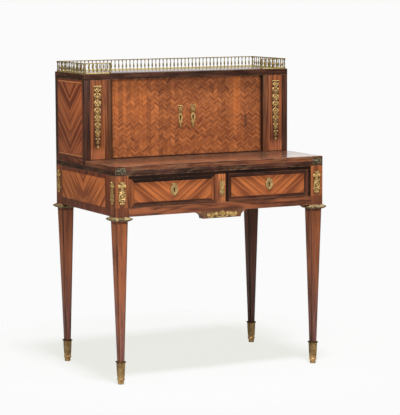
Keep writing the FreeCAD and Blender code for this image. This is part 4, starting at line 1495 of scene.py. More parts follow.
# --- Sub-assemblies -------------------------------------------------------------------------------
@dataclass(frozen=True)
class Finishes:
    """The finishes of the desk by their use."""

    leg: Finish = LegVeneer("Leg veneer")
    collar: Finish = Brass("Aged brass of the collars", bright=srgb(178, 158, 116), dull=srgb(104, 84, 60),
        scale=80.0, dulling=1.0, roughness=0.55)
    sabot: Finish = Brass("Aged brass of the sabots", bright=srgb(240, 200, 136), dull=srgb(164, 126, 82),
        scale=70, dulling=0.8, roughness=0.36, tarnish=(0.016, 0.036), rim=0.0745)
    mount: Finish = Brass("Gilt brass of the mounts", bright=srgb(242, 208, 140), dull=srgb(192, 144, 84),
        soot=srgb(72, 46, 26), scale=160.0, dulling=0.5, roughness=0.4, relief=True)
    worn_mount: Finish = Brass("Worn brass of the escutcheons", bright=srgb(212, 184, 126),
        dull=srgb(166, 128, 78), soot=srgb(60, 40, 24), scale=160.0, dulling=0.6, roughness=0.42,
        relief=True)
    gallery: Finish = Brass("Gallery brass", bright=srgb(184, 164, 106), dull=srgb(112, 92, 50), scale=60,
        dulling=0.8, roughness=0.36)
    gallery_foot: Finish = Brass("Bright brass of the gallery foot", bright=srgb(229, 213, 142),
        dull=srgb(178, 158, 96), scale=60.0, dulling=0.5, roughness=0.42)
    hinge: Finish = Brass("Hinge brass", bright=srgb(168, 158, 128), dull=srgb(48, 38, 30), scale=150,
        dulling=1, roughness=0.42)
    steel: Finish = Steel("Lock steel")
    tambour: Finish = HerringboneVeneer("Tambour herringbone")
    canvas: Finish = Canvas("Tambour canvas")
    stile: Finish = StileVeneer("Cabinet stile veneer")
    side_frieze: Finish = ChevronPanel("Side frieze veneer", along=1, middle=0.015, low=(-0.1675, 0.600),
        high=(0.1975, 0.697), angle=math.radians(41), border=Wood.ROSEWOOD, end_strings=False)
    cabinet_side: Finish = ChevronPanel("Cabinet side veneer", along=1, middle=0.1235, low=(0.0205, 0.757),
        high=(0.2265, 1.012), angle=math.radians(43), string=5 * MM, field=Wood.BROAD_TULIPWOOD,
        border=Wood.ROSEWOOD, seed=2, dark_back=0.8)
    drawer_panel: Finish = ChevronPanel("Drawer panel veneer", mirrored=True, middle=0.1845, low=(0, 0.6),
        high=(0.4, 0.7), field=Wood.ORANGE_TULIPWOOD, end_strings=False, seed=7, face=-0.2465,
        keyholes=((0.1889, 0.6525), (-0.1801, 0.6525)))
    moulding: Finish = MouldingVeneer("Dark moulding", coat=0.1, specular=0.2)
    # The apron is darker round its mount: partly soiling, partly painted shade.
    rail: Finish = PlainWood("Rail veneer", wood=Wood.PURPLEWOOD, low=(-0.354, -0.2525, 0.573),
        high=(0.354, -0.2, 0.604), worn=srgb(150, 112, 76), dirt=(0, 0.560, 0.082, 0.024))
    # The top rail is painted nearly black: painted shadow under the leaf.
    top_rail: Finish = PlainWood("Top rail veneer", wood=Wood.BLACKENED, coat=0.1, specular=0.2)
    centre_stile: Finish = PlainWood("Centre stile veneer", wood=Wood.CUT_TULIPWOOD, run=Run.ALONG_Z,
        low=(-0.015, -0.2525, 0.604), high=(0.015, -0.2, 0.701), wear=2 * MM, worn=srgb(96, 60, 38))
    board: Finish = BoardVeneer("Desk board veneer", edge=Wood.EBONISED, patches=0.25)
    leaf: Finish = BoardVeneer("Writing leaf veneer", low=(-0.402, -0.2525, 0.728),
        high=(0.402, -0.0035, 0.745), field=Wood.FADED_KINGWOOD, bruise=(-0.27, 0.05))
    cabinet_floor: Finish = BoardVeneer("Cabinet floor veneer", low=(-0.402, -0.0025, 0.728),
        high=(0.402, 0.2525, 0.745), edge=Wood.ROSEWOOD, sill=(-0.0045, 0.0125))
    cabinet_top: Finish = BoardVeneer("Cabinet top veneer", low=(-0.402, -0.0025, 1.021),
        high=(0.402, 0.2525, 1.044), edge=Wood.EBONISED, border=30 * MM, patches=0.1)
    leather: Finish = Leather("Writing leather")
    oak: Finish = PlainWood("Waxed oak", wood=Wood.OAK, run=Run.ALONG_Y, roughness=0.5, coat=0.05)
    oak_across: Finish = PlainWood("Waxed oak, across", wood=Wood.OAK, run=Run.ALONG_X, roughness=0.5,
        coat=0.05)
    back_oak: Finish = PlainWood("Oiled back oak", wood=Wood.OLD_OAK, run=Run.ALONG_X, roughness=0.6,
        coat=0, plank=0.119)
    inside: Finish = PlainWood("Polished inside wood", wood=Wood.MAHOGANY, run=Run.ALONG_X, roughness=0.4,
        coat=0.2)


@dataclass
class Stand:
    """Legs, collars and sabots."""

    finishes: Finishes
    collar_low: float = 0.558
    collar_levels: tuple[Point3, ...] = field(default=((0, 0, 0), (0, 1.4, 0.1), (0.5, 4.2, 0.3),
        (1.7, 7.4, 0.6), (3.6, 10.4, 0.9), (5.4, 12.8, 1), (6.7, 14, 0.6), (7.5, 14.4, 0.2),
        (8.4, 14.2, 0.3), (9.8, 13, 0.9), (11.2, 10.2, 1), (12.6, 7, 0.8), (13.8, 4.4, 0.3),
        (14.6, 3.4, 0.1), (15, 2.8, 0), (15, 0, 0)))
    lobes: int = 14
    corner_lobes: int = 2
    lobe_points: int = 6
    lobe_depth: float = 0.9
    sabot_levels: tuple[Point3, ...] = field(default=((0, 9.2, 2), (1.2, 10.2, 2), (5, 10.4, 2),
        (10.6, 10, 2), (11.7, 11, 2), (13.4, 12.9, 2), (16, 13.6, 2), (18.6, 12.9, 2), (20, 12, 2.1),
        (21.4, 11.3, 2.6), (30, 11.2, 5), (56, 11.9, 8), (73.4, 12.3, 9), (74.2, 13.2, 9), (75, 14.3, 9),
        (76.2, 14.7, 9), (78.2, 14.7, 9), (79, 13.9, 9)))

    def collar(self, x: float, y: float) -> Shape:
        """A brass collar: a thick lens in section, cast with small lobes all round.

        Args:
            x: Centre of the leg.
            y: Centre of the leg.

        Returns:
            Its vertices and faces.
        """
        neck, soft = 23.4, 5
        straight, turned = self.lobes * self.lobe_points, self.corner_lobes * self.lobe_points
        rings = []
        for height, reach, depth in self.collar_levels:
            half = neck + reach
            corner = soft + 0.55 * reach
            ring = []
            for quarter in range(4):
                way = math.tau * quarter / 4
                for k in range(straight + turned):
                    lobe = depth * self.lobe_depth * (1
                        - abs(math.sin(math.pi * k / self.lobe_points)) ** 0.7)
                    if k < straight:
                        spot = Vector((half - lobe, (half - corner) * (2 * k / straight - 1)))
                    else:
                        bend = math.tau / 4 * (k - straight) / turned
                        spot = Vector((half - corner, half - corner))
                        spot += towards(bend) * (corner - lobe)
                    spot = Matrix.Rotation(way, 2) @ spot
                    ring.append((x + spot.x * MM, y + spot.y * MM, self.collar_low + height * MM))
            rings.append(ring)
        return lofted(rings)

    def build(self) -> None:
        """Builds the four corners."""
        collars, sabots = [], []
        for node in ("front_left_leg", "front_right_leg", "back_left_leg", "back_right_leg"):
            eased(node, self.finishes.leg, 1 * MM)
            low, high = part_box(node)
            x, y = (low.x + high.x) / 2, (low.y + high.y) / 2
            collars.append(self.collar(x, y))
            sabots.append(
                lofted([soft_square(x, y, z * MM, half * MM, square)
                for z, half, square in self.sabot_levels]))
        collar = new_piece("brass_collars", *merged(collars), self.finishes.collar)
        settle(collar, CARCASS, "leg_collars")
        sabot = new_piece("brass_sabots", *merged(sabots), self.finishes.sabot)
        settle(sabot, CARCASS, "leg_sabots")


@dataclass
class Frieze:
    """Rails, centre stile, runners and stops."""

    finishes: Finishes

    def build(self) -> None:
        """Dresses what holds the drawers."""
        for node in ("left_side_rail", "right_side_rail"):
            eased(node, self.finishes.side_frieze, 0.6 * MM)
        eased("front_bottom_rail", self.finishes.rail, 0.8 * MM)
        eased("front_top_rail", self.finishes.top_rail, 0.6 * MM)
        eased("centre_stile", self.finishes.centre_stile, 0.5 * MM)
        eased("back_rail", self.finishes.back_oak, 0.8 * MM)
        dress(self.finishes.oak, "drawer_runners", "drawer_stops")


@dataclass
class Drawers:
    """Two drawers with mitred mouldings, locks and oak linings."""

    finishes: Finishes
    section: tuple[Point2, ...] = ((0, 0), (0, 5.6), (0.4, 6.5), (1.3, 7), (2.3, 6.9), (2.9, 6.2),
        (3.3, 5.2), (4.4, 4.2), (6.2, 3), (8.4, 2), (10.6, 1.3), (12, 1.1), (12.2, 1.8), (12.8, 2.2),
        (13.5, 1.9), (13.9, 1.1), (14, 0))
    end_strip: float = 9 * MM
    strip_section: tuple[Point2, ...] = ((0, 0), (0, 6.3), (0.7, 7), (8.4, 7), (9, 6.6), (9, 0))

    def moulding(self, node: str) -> bpy.types.Object:
        """The moulding frame: a bead round a hollow that falls to the panel, between flat end strips.

        Args:
            node: CAD node that it replaces.

        Returns:
            The piece.
        """
        low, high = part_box(node)
        start, end = low.x + self.end_strip, high.x - self.end_strip

        def run(path: Sequence[Point2], section: Sequence[Point2], closed: bool) -> Shape:
            """Runs a section in the face of the drawer."""
            heights = [(inset * MM, high.y - proud * MM) for inset, proud in section]
            return moulded(path, heights, lambda u, v, w: (u, w, v), closed)

        frame_run = run([(start, low.z), (start, high.z), (end, high.z), (end, low.z)], self.section, True)
        left = run([(low.x, low.z), (low.x, high.z)], self.strip_section, False)
        right = run([(high.x, high.z), (high.x, low.z)], self.strip_section, False)
        piece = new_piece(node + "_run", *merged([frame_run, left, right]), self.finishes.moulding)
        return settle(piece, body_of(node), node)

    def build(self) -> None:
        """Builds both drawers."""
        for side in ("left", "right"):
            self.moulding(side + "_drawer_moulding")
            eased(side + "_drawer_front", self.finishes.drawer_panel, 0.4 * MM)
            eased(side + "_drawer_frame", self.finishes.oak, 0.6 * MM)
            dress(self.finishes.oak_across, side + "_drawer_bottom")
            eased(side + "_drawer_lock", self.finishes.steel, 0.5 * MM)


@dataclass
class Boards:
    """Desk board, writing leaf, leathers and hinges."""

    finishes: Finishes
    copies: Instancer
    screw_radius: float = 1.9 * MM
    screw_slot: float = 0.45 * MM
    screw_height: float = 0.3 * MM
    screws: int = 3
    plate_face: float = -0.2525

    def screw(self) -> Shape:
        """The head of a slotted screw, facing up: two halves with the slot between them."""
        halves = []
        start = math.asin(self.screw_slot / 2 / self.screw_radius)
        for side in (1, -1):
            angles = [start + (math.pi - 2 * start) * k / 8 for k in range(9)]
            rings = []
            for share, height in ((1, -1), (1, 0.4), (0.86, 1)):
                rings.append(
                    [(self.screw_radius * share * math.cos(a),
                    side * max(self.screw_radius * share * math.sin(a), self.screw_slot / 2),
                    self.screw_height * height) for a in angles])
            halves.append(lofted(rings))
        return merged(halves)

    def fix(self, node: str, rise: float) -> None:
        """Screws the plates of a node to their board.

        Args:
            node: The hinge plates.
            rise: Height of the screws.
        """
        spots = []
        for low, high in islands(node):
            if high.x - low.x < 30 * MM:
                continue
            for k in range(self.screws):
                share = (k + 0.5) / self.screws
                spots.append((low.x + (high.x - low.x) * share, self.plate_face + self.screw_height / 2,
                    rise))
        screws = self.copies.piece(node + "_screws", spots, self.screw(), self.finishes.hinge, turn=1.4,
            lean=(math.pi / 2, 0.0, 0.0), seed=5)
        settle(screws, body_of(node), slot=slot_of(node))

    def build(self) -> None:
        """Dresses the boards and their hinges."""
        eased("desk_board", self.finishes.board, 1.2 * MM)
        eased("writing_leaf", self.finishes.leaf, 0.8 * MM)
        for node, outward in (("board_hinge_plates", -1), ("leaf_hinge_plates", 1)):
            self.fix(node, 0.728 + outward * 7.2 * MM)
        dress(self.finishes.leather, "desk_leather", "leaf_leather")
        dress(self.finishes.hinge, "board_hinge_plates", "leaf_hinge_plates", "hinge_pins")


@dataclass
class Cabinet:
    """Case of the cabinet."""

    finishes: Finishes

    def build(self) -> None:
        """Dresses the case inside and out."""
        for side in ("left", "right"):
            eased(f"cabinet_{side}_side", self.finishes.cabinet_side, 0.8 * MM)
            eased(side + "_front_stile", self.finishes.stile, 0.8 * MM)
        eased("cabinet_floor", self.finishes.cabinet_floor, 0.7 * MM)
        eased("cabinet_top", self.finishes.cabinet_top, 0.9 * MM)
        eased("cabinet_back", self.finishes.back_oak, 0.8 * MM)
        eased("cabinet_shelf", self.finishes.inside, 0.8 * MM)
        dress(self.finishes.inside, "pocket_liners")


@dataclass
class Tambour:
    """The two sliding leaves: veneered slats glued to canvas, and the boards that lead them."""

    finishes: Finishes
    copies: Instancer
    pitch: float = 15.6 * MM
    gap: float = 0.3 * MM
    lead_slats: int = 3
    tail_slats: int = 18
    crown: float = 0.25 * MM
    cloth: float = 0.7 * MM
    keep: float = 0.066
    play: float = 0.3 * MM
    hem: float = 8 * MM
    cloth_edge: float = 0.5 * MM

    def slat(self, front: float, back: float, low: float, high: float) -> Shape:
        """One slat about x = 0, with a faintly crowned face and rounded arrises.

        Args:
            front: Its face, as a place on the Y axis.
            back: Its back.
            low: Its lower end.
            high: Its upper end.

        Returns:
            Its vertices and faces.
        """
        half = (self.pitch - self.gap) / 2
        side = [(0, 0), (0.55, 0.35), (0.86, 0.8)]
        face = [(s * half, front + c * self.crown) for s, c in side]
        arris = [(half - 0.45 * MM, front + 0.28 * MM), (half - 0.12 * MM, front + 0.55 * MM),
            (half, front + 0.95 * MM)]
        right = face + arris + [(half, back)]
        outline = [(-u, v) for u, v in reversed(right)] + right[1:]
        return lofted([[(u, v, z) for u, v in outline] for z in (low, high)])

    def leaf(self, side: str, sign: float) -> None:
        """One leaf of the tambour.

        Args:
            side: left or right.
            sign: -1 for the left leaf and 1 for the right one.
        """
        lead, tail = side + "_tambour_lead", side + "_tambour_slats"
        low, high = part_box(lead)
        floor, lid = (corner.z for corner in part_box("cabinet_left_side"))
        shape = self.slat(low.y, high.y, floor + self.play, lid - self.play)
        first, end = self.lead_slats * self.pitch, (self.lead_slats + self.tail_slats) * self.pitch
        spots = [(sign * self.pitch * (i + 0.5), 0.0, 0.0)
            for i in range(self.lead_slats + self.tail_slats)]
        joined = (self.pitch / (self.pitch - self.gap), 1.0, 1.0)
        board = self.copies.piece(lead + "_board", spots[:self.lead_slats], shape, self.finishes.tambour,
            scale=joined)
        settle(board, body_of(lead), lead)
        slats = self.copies.piece(tail + "_veneered", spots[self.lead_slats:], shape, self.finishes.tambour)
        settle(slats, body_of(tail), tail)
        reach = (sign * (first + self.cloth_edge), sign * (end - self.cloth_edge))
        back = high.y + self.cloth
        corners = [(reach[0], high.y), (reach[1], high.y), (reach[1], back), (reach[0], back)]
        cloth = lofted([[(u, v, z) for u, v in corners] for z in (floor + self.hem, lid - self.hem)])
        backing = new_piece(side + "_tambour_canvas", *cloth, self.finishes.canvas)
        settle(backing, body_of(tail), slot=slot_of(tail))
        for part in (slats, backing):
            side + "_tambour_slide"
            sign * end
            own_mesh(part)

    def build(self) -> None:
        """Builds both leaves and their lock."""
        self.leaf("left", -1)
        self.leaf("right", 1)
        eased("left_tambour_keeper", self.finishes.steel, 0.4 * MM)
        eased("right_tambour_lock", self.finishes.steel, 0.4 * MM)


@dataclass
class Gallery:
    """Pierced brass gallery: rails, posts and turned balusters."""

    finishes: Finishes
    copies: Instancer
    profile: tuple[Point2, ...] = ((2.2, 0), (2.4, 0.9), (2.3, 1.6), (1.3, 2.6), (1.5, 3.6), (2.5, 6.2),
        (3, 9.4), (2.7, 13), (1.7, 18.5), (1.15, 23), (1.2, 24.6), (2, 25.8), (2, 26.6), (1.2, 27.6),
        (2.1, 29.6), (2.3, 31))
    sides: int = 10

    def baluster(self, height: float) -> Shape:
        """A turned baluster that stands on its own origin.

        Args:
            height: Its height.

        Returns:
            Its vertices and faces.
        """
        stretch = height / (self.profile[-1][1] * MM)
        rings = []
        for radius, z in self.profile:
            rings.append(
                [(radius * MM * math.cos(math.tau * k / self.sides), radius * MM
                * math.sin(math.tau * k / self.sides), z * MM * stretch) for k in range(self.sides)])
        return lofted(rings)

    def rail(self, name: str, node: str, half: float, finish: Finish) -> None:
        """A rail along the whole gallery.

        Args:
            name: Name of the piece.
            node: CAD node that it replaces.
            half: Half its width.
            finish: Its brass.
        """
        low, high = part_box(node)
        centres = [((a.x + b.x) / 2, (a.y + b.y) / 2) for a, b in islands("gallery_posts")]
        x, y0, y1 = max(c[0] for c in centres), min(c[1] for c in centres), max(c[1] for c in centres)
        stop = min(abs(c[0]) for c in centres)
        path = [(-stop, y0), (-x, y0), (-x, y1), (x, y1), (x, y0), (stop, y0)]
        right = [(half * share, low.z + (high.z - low.z) * rise)
            for share, rise in ((0.3, 1), (0.75, 0.85), (1, 0.55), (1, 0))]
        section = [(-u, v) for u, v in reversed(right)] + right
        shape = moulded(path, section, lambda u, v, w: (u, v, w), closed=False)
        settle(new_piece(name, *shape, finish), CARCASS, node)

    def posts(self) -> None:
        """The corner and end posts: square blocks joined by a slimmer waist."""
        shapes = []
        for low, high in islands("gallery_posts"):
            x, y, half = (low.x + high.x) / 2, (low.y + high.y) / 2, (high.x - low.x) / 2
            tall = high.z - low.z
            levels = ((0, 0.94), (0.02, 1), (0.14, 1), (0.17, 0.62), (0.3, 0.55), (0.5, 0.72), (0.68, 0.5),
                (0.8, 0.55), (0.84, 1), (0.98, 1), (1, 0.94))
            shapes.append(lofted([soft_square(x, y, low.z + tall * z, half * r, 7, 24) for z, r in levels]))
        settle(new_piece("gallery_post_castings", *merged(shapes), self.finishes.gallery), CARCASS,
            "gallery_posts")

    def build(self) -> None:
        """Builds the whole gallery."""
        boxes = islands("gallery_balusters")
        spots = [((a.x + b.x) / 2, (a.y + b.y) / 2, a.z) for a, b in boxes]
        balusters = self.copies.piece("turned_balusters", spots,
            self.baluster(boxes[0][1].z - boxes[0][0].z), self.finishes.gallery, 3.0, seed=11)
        settle(balusters, CARCASS, "gallery_balusters")
        self.rail("gallery_foot_rail", "gallery_base_rails", 2.5 * MM, self.finishes.gallery_foot)
        self.rail("gallery_hand_rail", "gallery_top_rails", 3 * MM, self.finishes.gallery)
        self.posts()


@dataclass
class Mounts:
    """Gilt mounts and escutcheons."""

    finishes: Finishes
    high: float = 3.2
    keyhole_radius: float = 3.6
    slot_half: float = 2.2
    slot_depth: float = 12.0

    def corner(self) -> Relief:
        """Corner mount of the frieze, 33 by 88: a pair of volutes over a ringed rosette and a tail."""
        work = Relief(self.high)
        work.strip([(0, 4), (0, 44), (0, 82)], [1.4, 2.4, 1.4], [1.9] * 3)
        work.pair(TENDRIL, volute((3.2, 47), (9.3, 68), 6.6, 2, 200, -520), 2.6, 2.9, 1.2)
        work.spray((2, LEAF, 5, 52, 12, 10, 62, 0.3, 10, 2.2, 2.5),
            (2, LEAF, 1.2, 74, 58, 14, -30, 0.3, 10, 2.4, 2.6),
            (1, LEAF, 0, 70, 90, 17.5, 0, 0, 10, 3.6, 3.1),
            (2, LEAF, 0.6, 77, 24, 11, 60, 0.3, 10, 2.4, 2.9))
        work.bead((0, 67), 2.6, 3)
        work.strip([(-10.5, 47.5), (0, 49.5), (10.5, 47.5)], [2.2] * 3, [2.7] * 3)
        work.hoop((0, 34), 12.4, 8.2, 2.9)
        work.flower((0, 34), 6.3, 3.3, 6)
        work.spray((2, LEAF, 9.5, 41, 20, 8, 70, 0.3, 8, 1.9, 2.3),
            (2, TENDRIL, 2.5, 20, -30, 24, 340, 0.9, 22, 1.8, 2.6),
            (2, LEAF, 1, 15.5, -52, 13, -20, 0.4, 12, 2.6, 2.8, 2),
            (2, TENDRIL, 1.2, 9, -24, 17, 330, 0.8, 18, 1.7, 2.7),
            (1, LEAF, 0, 22, -90, 21.5, 0, 0, 18, 4.2, 3, 3, 0.4))
        return work

    def stile(self) -> Relief:
        """Long mount of a cabinet stile, 31 by 223: a small capital over a chain of rings, curls and
        husks, which narrows to a leaf at its foot."""
        work = Relief(self.high)
        half, tip, height, foot, units = 15.5, 9, 223, 16, 7
        work.strip([(0, 6), (0, height / 2), (0, height - 8)], [1, 1.6, 1.8], [1.4] * 3)
        work.strip([(1 - half, height - 3), (half - 1, height - 3)], [2.4] * 2, [2.9] * 2)
        work.strip([(3 - half, height - 8.2), (half - 3, height - 8.2)], [1.6] * 2, [2.2] * 2)
        work.hoop((0, height - 17.5), 7.6, 4.4, 2.8)
        work.bead((0, height - 17.5), 2.8, 3.1)
        work.spray((2, TENDRIL, 8, height - 12, -20, 17, -330, 0.6, 18, 1.4, 2.6))
        top = height - 27
        step = (top - foot) / units
        for i in range(units):
            share = i / (units - 1)
            reach = (half - 0.4) + (tip - half + 0.4) * share ** 2.6
            self.link(work, top - step * i, step, reach / 15, i % 2 == 1)
        work.spray((1, LEAF, 0, foot + 2, -90, foot + 1, 0, 0, 14, 3.4, 2.9, 3),
            (2, LEAF, 1, foot, -58, 10, -30, 0.3, 10, 1.8, 2.4))
        return work

    def link(self, work: Relief, top: float, step: float, size: float, ringed: bool) -> None:
        """One link of the chain on a cabinet stile.

        Args:
            work: Where it is raised.
            top: Its upper end.
            step: Its height.
            size: How far it spreads, with 1 for 15 to each side.
            ringed: Whether a ring stands in its middle, or a flower.
        """
        middle = top - step * 0.46
        if ringed:
            work.hoop((0, middle), 7.4 * size, 4.3 * size, 2.7)
            work.bead((0, middle), 2.6 * size, 3)
        else:
            work.flower((0, middle), 6.4 * size, 3.2, 5)
        work.spray((1, LEAF, 0, top + 2, -90, step * 0.42, 0, 0, 8, 2.3 * size, 2.9),
            (1, LEAF, 0, middle - 4 * size, -90, step * 0.42, 0, 0, 8, 2.2 * size, 2.7),
            (2, TENDRIL, 1, top - 1, 8, 33 * size, -400, 0.75, 24, 2 * size, 2.8),
            (2, LEAF, 3.5 * size, middle - 3, -28, 12 * size, 75, 0.2, 10, 2.8 * size, 2.5, 2),
            (2, LEAF, 1.5, middle - 6.5 * size, -62, 12 * size, 50, 0.2, 10, 2.3 * size, 2.4))

    def centre(self) -> Relief:
        """Mount of the centre stile, 22 by 70: a flower between two full sprays of leaves."""
        work = Relief(self.high)
        work.strip([(0, 6), (0, 35), (0, 64)], [1.6, 4, 1.6], [1.6] * 3)
        work.flower((0, 35), 7.6, 3.3, 6)
        for sign in (1, -1):
            z = 35 + 6 * sign
            work.spray((1, LEAF, 0, z, 90 * sign, 27.5, 0, 0, 14, 3.6, 3.2, 3, 0.4),
                *((2, LEAF, 1.2, z, (90 - lean) * sign, length, sign * lean * 1.1, 0.4, 12, wide, 3.1, 2)
                for lean, length, wide in ((26, 25, 3.1), (48, 18, 3.1), (72, 13, 2.8))))
        return work

    def apron(self) -> Relief:
        """Spray on the apron, 122 by 31: a palmette with full leafy scrolls to both sides."""
        work = Relief(3.6)
        work.spray(*((1, LEAF, 0, 9, 90 - turn, 20.5 - abs(turn) * 0.08, 0, 0, 10, 2.7, 3.4, 0, 0.62)
            for turn in range(-66, 67, 22)))
        work.flower((0, 8.5), 6.4, 3.6, 6)
        work.spray((2, TENDRIL, 0, 4, -2, 54, 430, 1.7, 30, 2.3, 3.2),
            *((2, LEAF, start, 6, heading, length, turn, 0.5, 14, wide, 3.1, 3, 0.42)
            for start, heading, length, turn, wide in ((27, 14, 33, -12, 5.4), (24, 44, 28, -54, 5.6),
            (21, 70, 22, -50, 5.2), (13, 56, 20, -40, 4.8), (36, 58, 19, -62, 4.8), (45, 44, 17, -60, 4.2),
            (30, -6, 17, 34, 3), (12, -16, 14, 50, 3))))
        work.pair(Relief.bead, (34, 11), 2.6, 3.4)
        work.spray((2, TENDRIL, 37, 3.6, -4, 46, 400, 1.4, 28, 2.4, 3.3))
        return work

    def keyhole(self, angle: float) -> float:
        """Reach of a keyhole from its round part: a circle with a slot below it."""
        down, side = -math.sin(angle), abs(math.cos(angle))
        if down <= 0:
            return self.keyhole_radius
        slot = min(self.slot_half / side if side > 1e-6 else self.slot_depth, self.slot_depth / down)
        return max(self.keyhole_radius, slot)

    def oval(self, angle: float, wide: float, tall: float, drop: float) -> float:
        """Reach from a keyhole to the edge of an oval.

        Args:
            angle: The way, in radians.
            wide: Half the width of the oval.
            tall: Half its height.
            drop: How far its centre lies below the keyhole.

        Returns:
            The reach.
        """
        c, s = math.cos(angle), math.sin(angle)
        square = (c / wide) ** 2 + (s / tall) ** 2
        linear = 2 * s * drop / tall ** 2
        rest = (drop / tall) ** 2 - 1
        return (math.sqrt(linear ** 2 - 4 * square * rest) - linear) / (2 * square)

    def drawer_escutcheon(self) -> Relief:
        """Escutcheon of a drawer, 34 by 49 about its keyhole: a broad oval, lobed all round, with a knot
        above it and a drop below."""
        work = Relief(self.high)
        levels = ((0, 0), (0, 1.9), (0.08, 2.4), (0.3, 2.25), (0.56, 2.25), (0.64, 2.8), (0.72, 2.2),
            (0.84, 2.8), (0.95, 2.6), (1, 1.6), (1, 0))
        work.ring((0, 0), lambda way: self.oval(way, 14.6, 19, 2.5) * (1 + 0.05 * math.cos(12 * way)),
            self.keyhole, levels, 84)
        work.pair(Relief.strip, curl((0.5, 15.5), 58, 15, -230, 0.2, 14), [1.5] * 15, [2.8] * 15)
        work.bead((0, 17.2), 2.5, 3.2)
        work.spray((1, LEAF, 0, 17, 90, 4.8, 0, 0, 6, 1.8, 2.6),
            (2, LEAF, 0.5, -19, 10, 13, 66, 0.3, 12, 2.2, 2.7, 2),
            (1, LEAF, 0, -17, -90, 9, 0, 0, 8, 2.6, 2.9))
        return work

    def tambour_escutcheon(self) -> Relief:
        """Escutcheon of a tambour lead, 23 by 92 about its keyhole: a shield under a tied ribbon, with
        leaves down to a point."""
        work = Relief(self.high)
        levels = ((0, 0), (0, 1.9), (0.1, 2.4), (0.45, 2.2), (0.7, 2.25), (0.85, 2.8), (0.96, 2.5),
            (1, 1.5), (1, 0))
        work.ring((0, 0), lambda way: self.oval(way, 8.6, 14.5, 1), self.keyhole, levels, 64)
        work.strip([(0, -40), (0, -12)], [1.4, 2], [1.6] * 2)
        work.strip([(0, 12), (0, 40)], [2, 1.4], [1.6] * 2)
        work.pair(Relief.strip, curl((0.5, 36), 66, 19, -255, 0.2, 14), [1.4] * 15, [2.7] * 15)
        work.spray((2, LEAF, 1, 35, -36, 14, -50, 0.4, 12, 1.8, 2.5))
        work.bead((0, 37), 2.3, 3.2)
        work.hoop((0, 26), 6.6, 3.8, 2.8)
        work.bead((0, 26), 2.4, 3.1)
        work.spray((2, LEAF, 1, 19.5, -8, 12.5, -80, 0.3, 12, 2.2, 2.6, 2),
            (2, TENDRIL, 1, -14, -10, 21, -340, 0.7, 20, 1.6, 2.7))
        work.flower((0, -22), 5, 3.1, 5)
        work.spray((1, LEAF, 0, -20, -90, 26, 0, 0, 16, 3.6, 2.9, 3, 0.35),
            (2, LEAF, 0.5, -26, -56, 13, -25, 0.3, 10, 2, 2.5, 2))
        return work

    def build(self) -> None:
        """Raises and places every mount."""
        finish = self.finishes.mount
        ahead, left, right, behind = (0, -1, 0), (-1, 0, 0), (1, 0, 0), (0, 1, 0)
        corner, placed = self.corner(), []
        for low, high in islands("frieze_corner_mounts"):
            centre = (low + high) / 2
            if high.x - low.x > high.y - low.y:
                placed.append(corner.placed((centre.x, high.y, low.z), right, ahead))
            elif centre.x < 0:
                placed.append(corner.placed((high.x, centre.y, low.z), ahead, left))
            else:
                placed.append(corner.placed((low.x, centre.y, low.z), behind, right))
        chased("frieze_corner_mounts", "frieze_mounts_chased", placed, finish)
        for node, work in (("cabinet_stile_mounts", self.stile()), ("centre_stile_mount", self.centre()),
                ("apron_mount", self.apron())):
            placed = [work.placed(((low.x + high.x) / 2, high.y, low.z), right, ahead)
                for low, high in islands(node)]
            chased(node, node + "_chased", placed, finish)
        for side in ("left", "right"):
            for kind, work, eye, brass in (("drawer", self.drawer_escutcheon(), DRAWER_EYE,
                    self.finishes.worn_mount), ("tambour", self.tambour_escutcheon(), None, finish)):
                node = f"{side}_{kind}_escutcheon"
                low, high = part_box(node)
                rise = (low.z + high.z) / 2 if eye is None else low.z + eye
                chased(node, node + "_chased",
                    [work.placed(((low.x + high.x) / 2, high.y, rise), right, ahead)], brass)


# --- Studio ---------------------------------------------------------------------------------------
@dataclass(frozen=True)
class Camera:
    """Where the desk is seen from."""

    place: Point3 = (-3.032, -5.981, 1.3525)
    yaw: float = math.radians(-27.2223)
    pitch: float = math.radians(6.7554)
    roll: float = math.radians(-0.2854)
    focal_pixels: float = 1896.61
    image_height: int = 415
    sensor: float = 36.0

    def build(self) -> None:
        """Makes the camera and gives it to the scene."""
        ahead = Vector((-math.sin(self.yaw) * math.cos(self.pitch), math.cos(self.yaw)
            * math.cos(self.pitch), -math.sin(self.pitch)))
        level = Vector((math.cos(self.yaw), math.sin(self.yaw), 0))
        upright = level.cross(ahead)
        right = level * math.cos(self.roll) + upright * math.sin(self.roll)
        up = upright * math.cos(self.roll) - level * math.sin(self.roll)
        data = bpy.data.cameras.new("Camera")
        data.sensor_width = self.sensor
        data.lens = self.focal_pixels * self.sensor / self.image_height
        data.clip_end = 60
        camera = bpy.data.objects.new("Camera", data)
        turned = Matrix((right, up, -ahead)).transposed().to_4x4()
        camera.matrix_world = Matrix.Translation(self.place) @ turned
        bpy.context.scene.collection.objects.link(camera)
        bpy.context.scene.camera = camera


@dataclass(frozen=True)
class SoftBox:
    """One large soft lamp."""

    name: str
    place: Point3
    target: Point3
    size: Point2
    power: float
    colour: tuple[float, float, float] = (1.0, 1.0, 1.0)

    def build(self) -> None:
        """Hangs the lamp, turned to its target."""
        data = bpy.data.lights.new(self.name, "AREA")
        data.shape = "RECTANGLE"
        data.size, data.size_y = self.size
        data.energy = self.power
        data.color = self.colour
        lamp = bpy.data.objects.new(self.name, data)
        lamp.location = self.place
        lamp.rotation_euler = (Vector(self.target) - Vector(self.place)).to_track_quat("-Z", "Y").to_euler()
        bpy.context.scene.collection.objects.link(lamp)


class LightPath:
    """Which kind of ray a shader is asked by: 1 or 0 for each kind."""

    def __init__(self, graph: Graph) -> None:
        """Adds the node."""
        outputs = graph.add("ShaderNodeLightPath").outputs
        self.camera, self.gloss, self.through = (Value(graph, outputs[f"Is {kind} Ray"])
            for kind in ("Camera", "Glossy", "Transmission"))


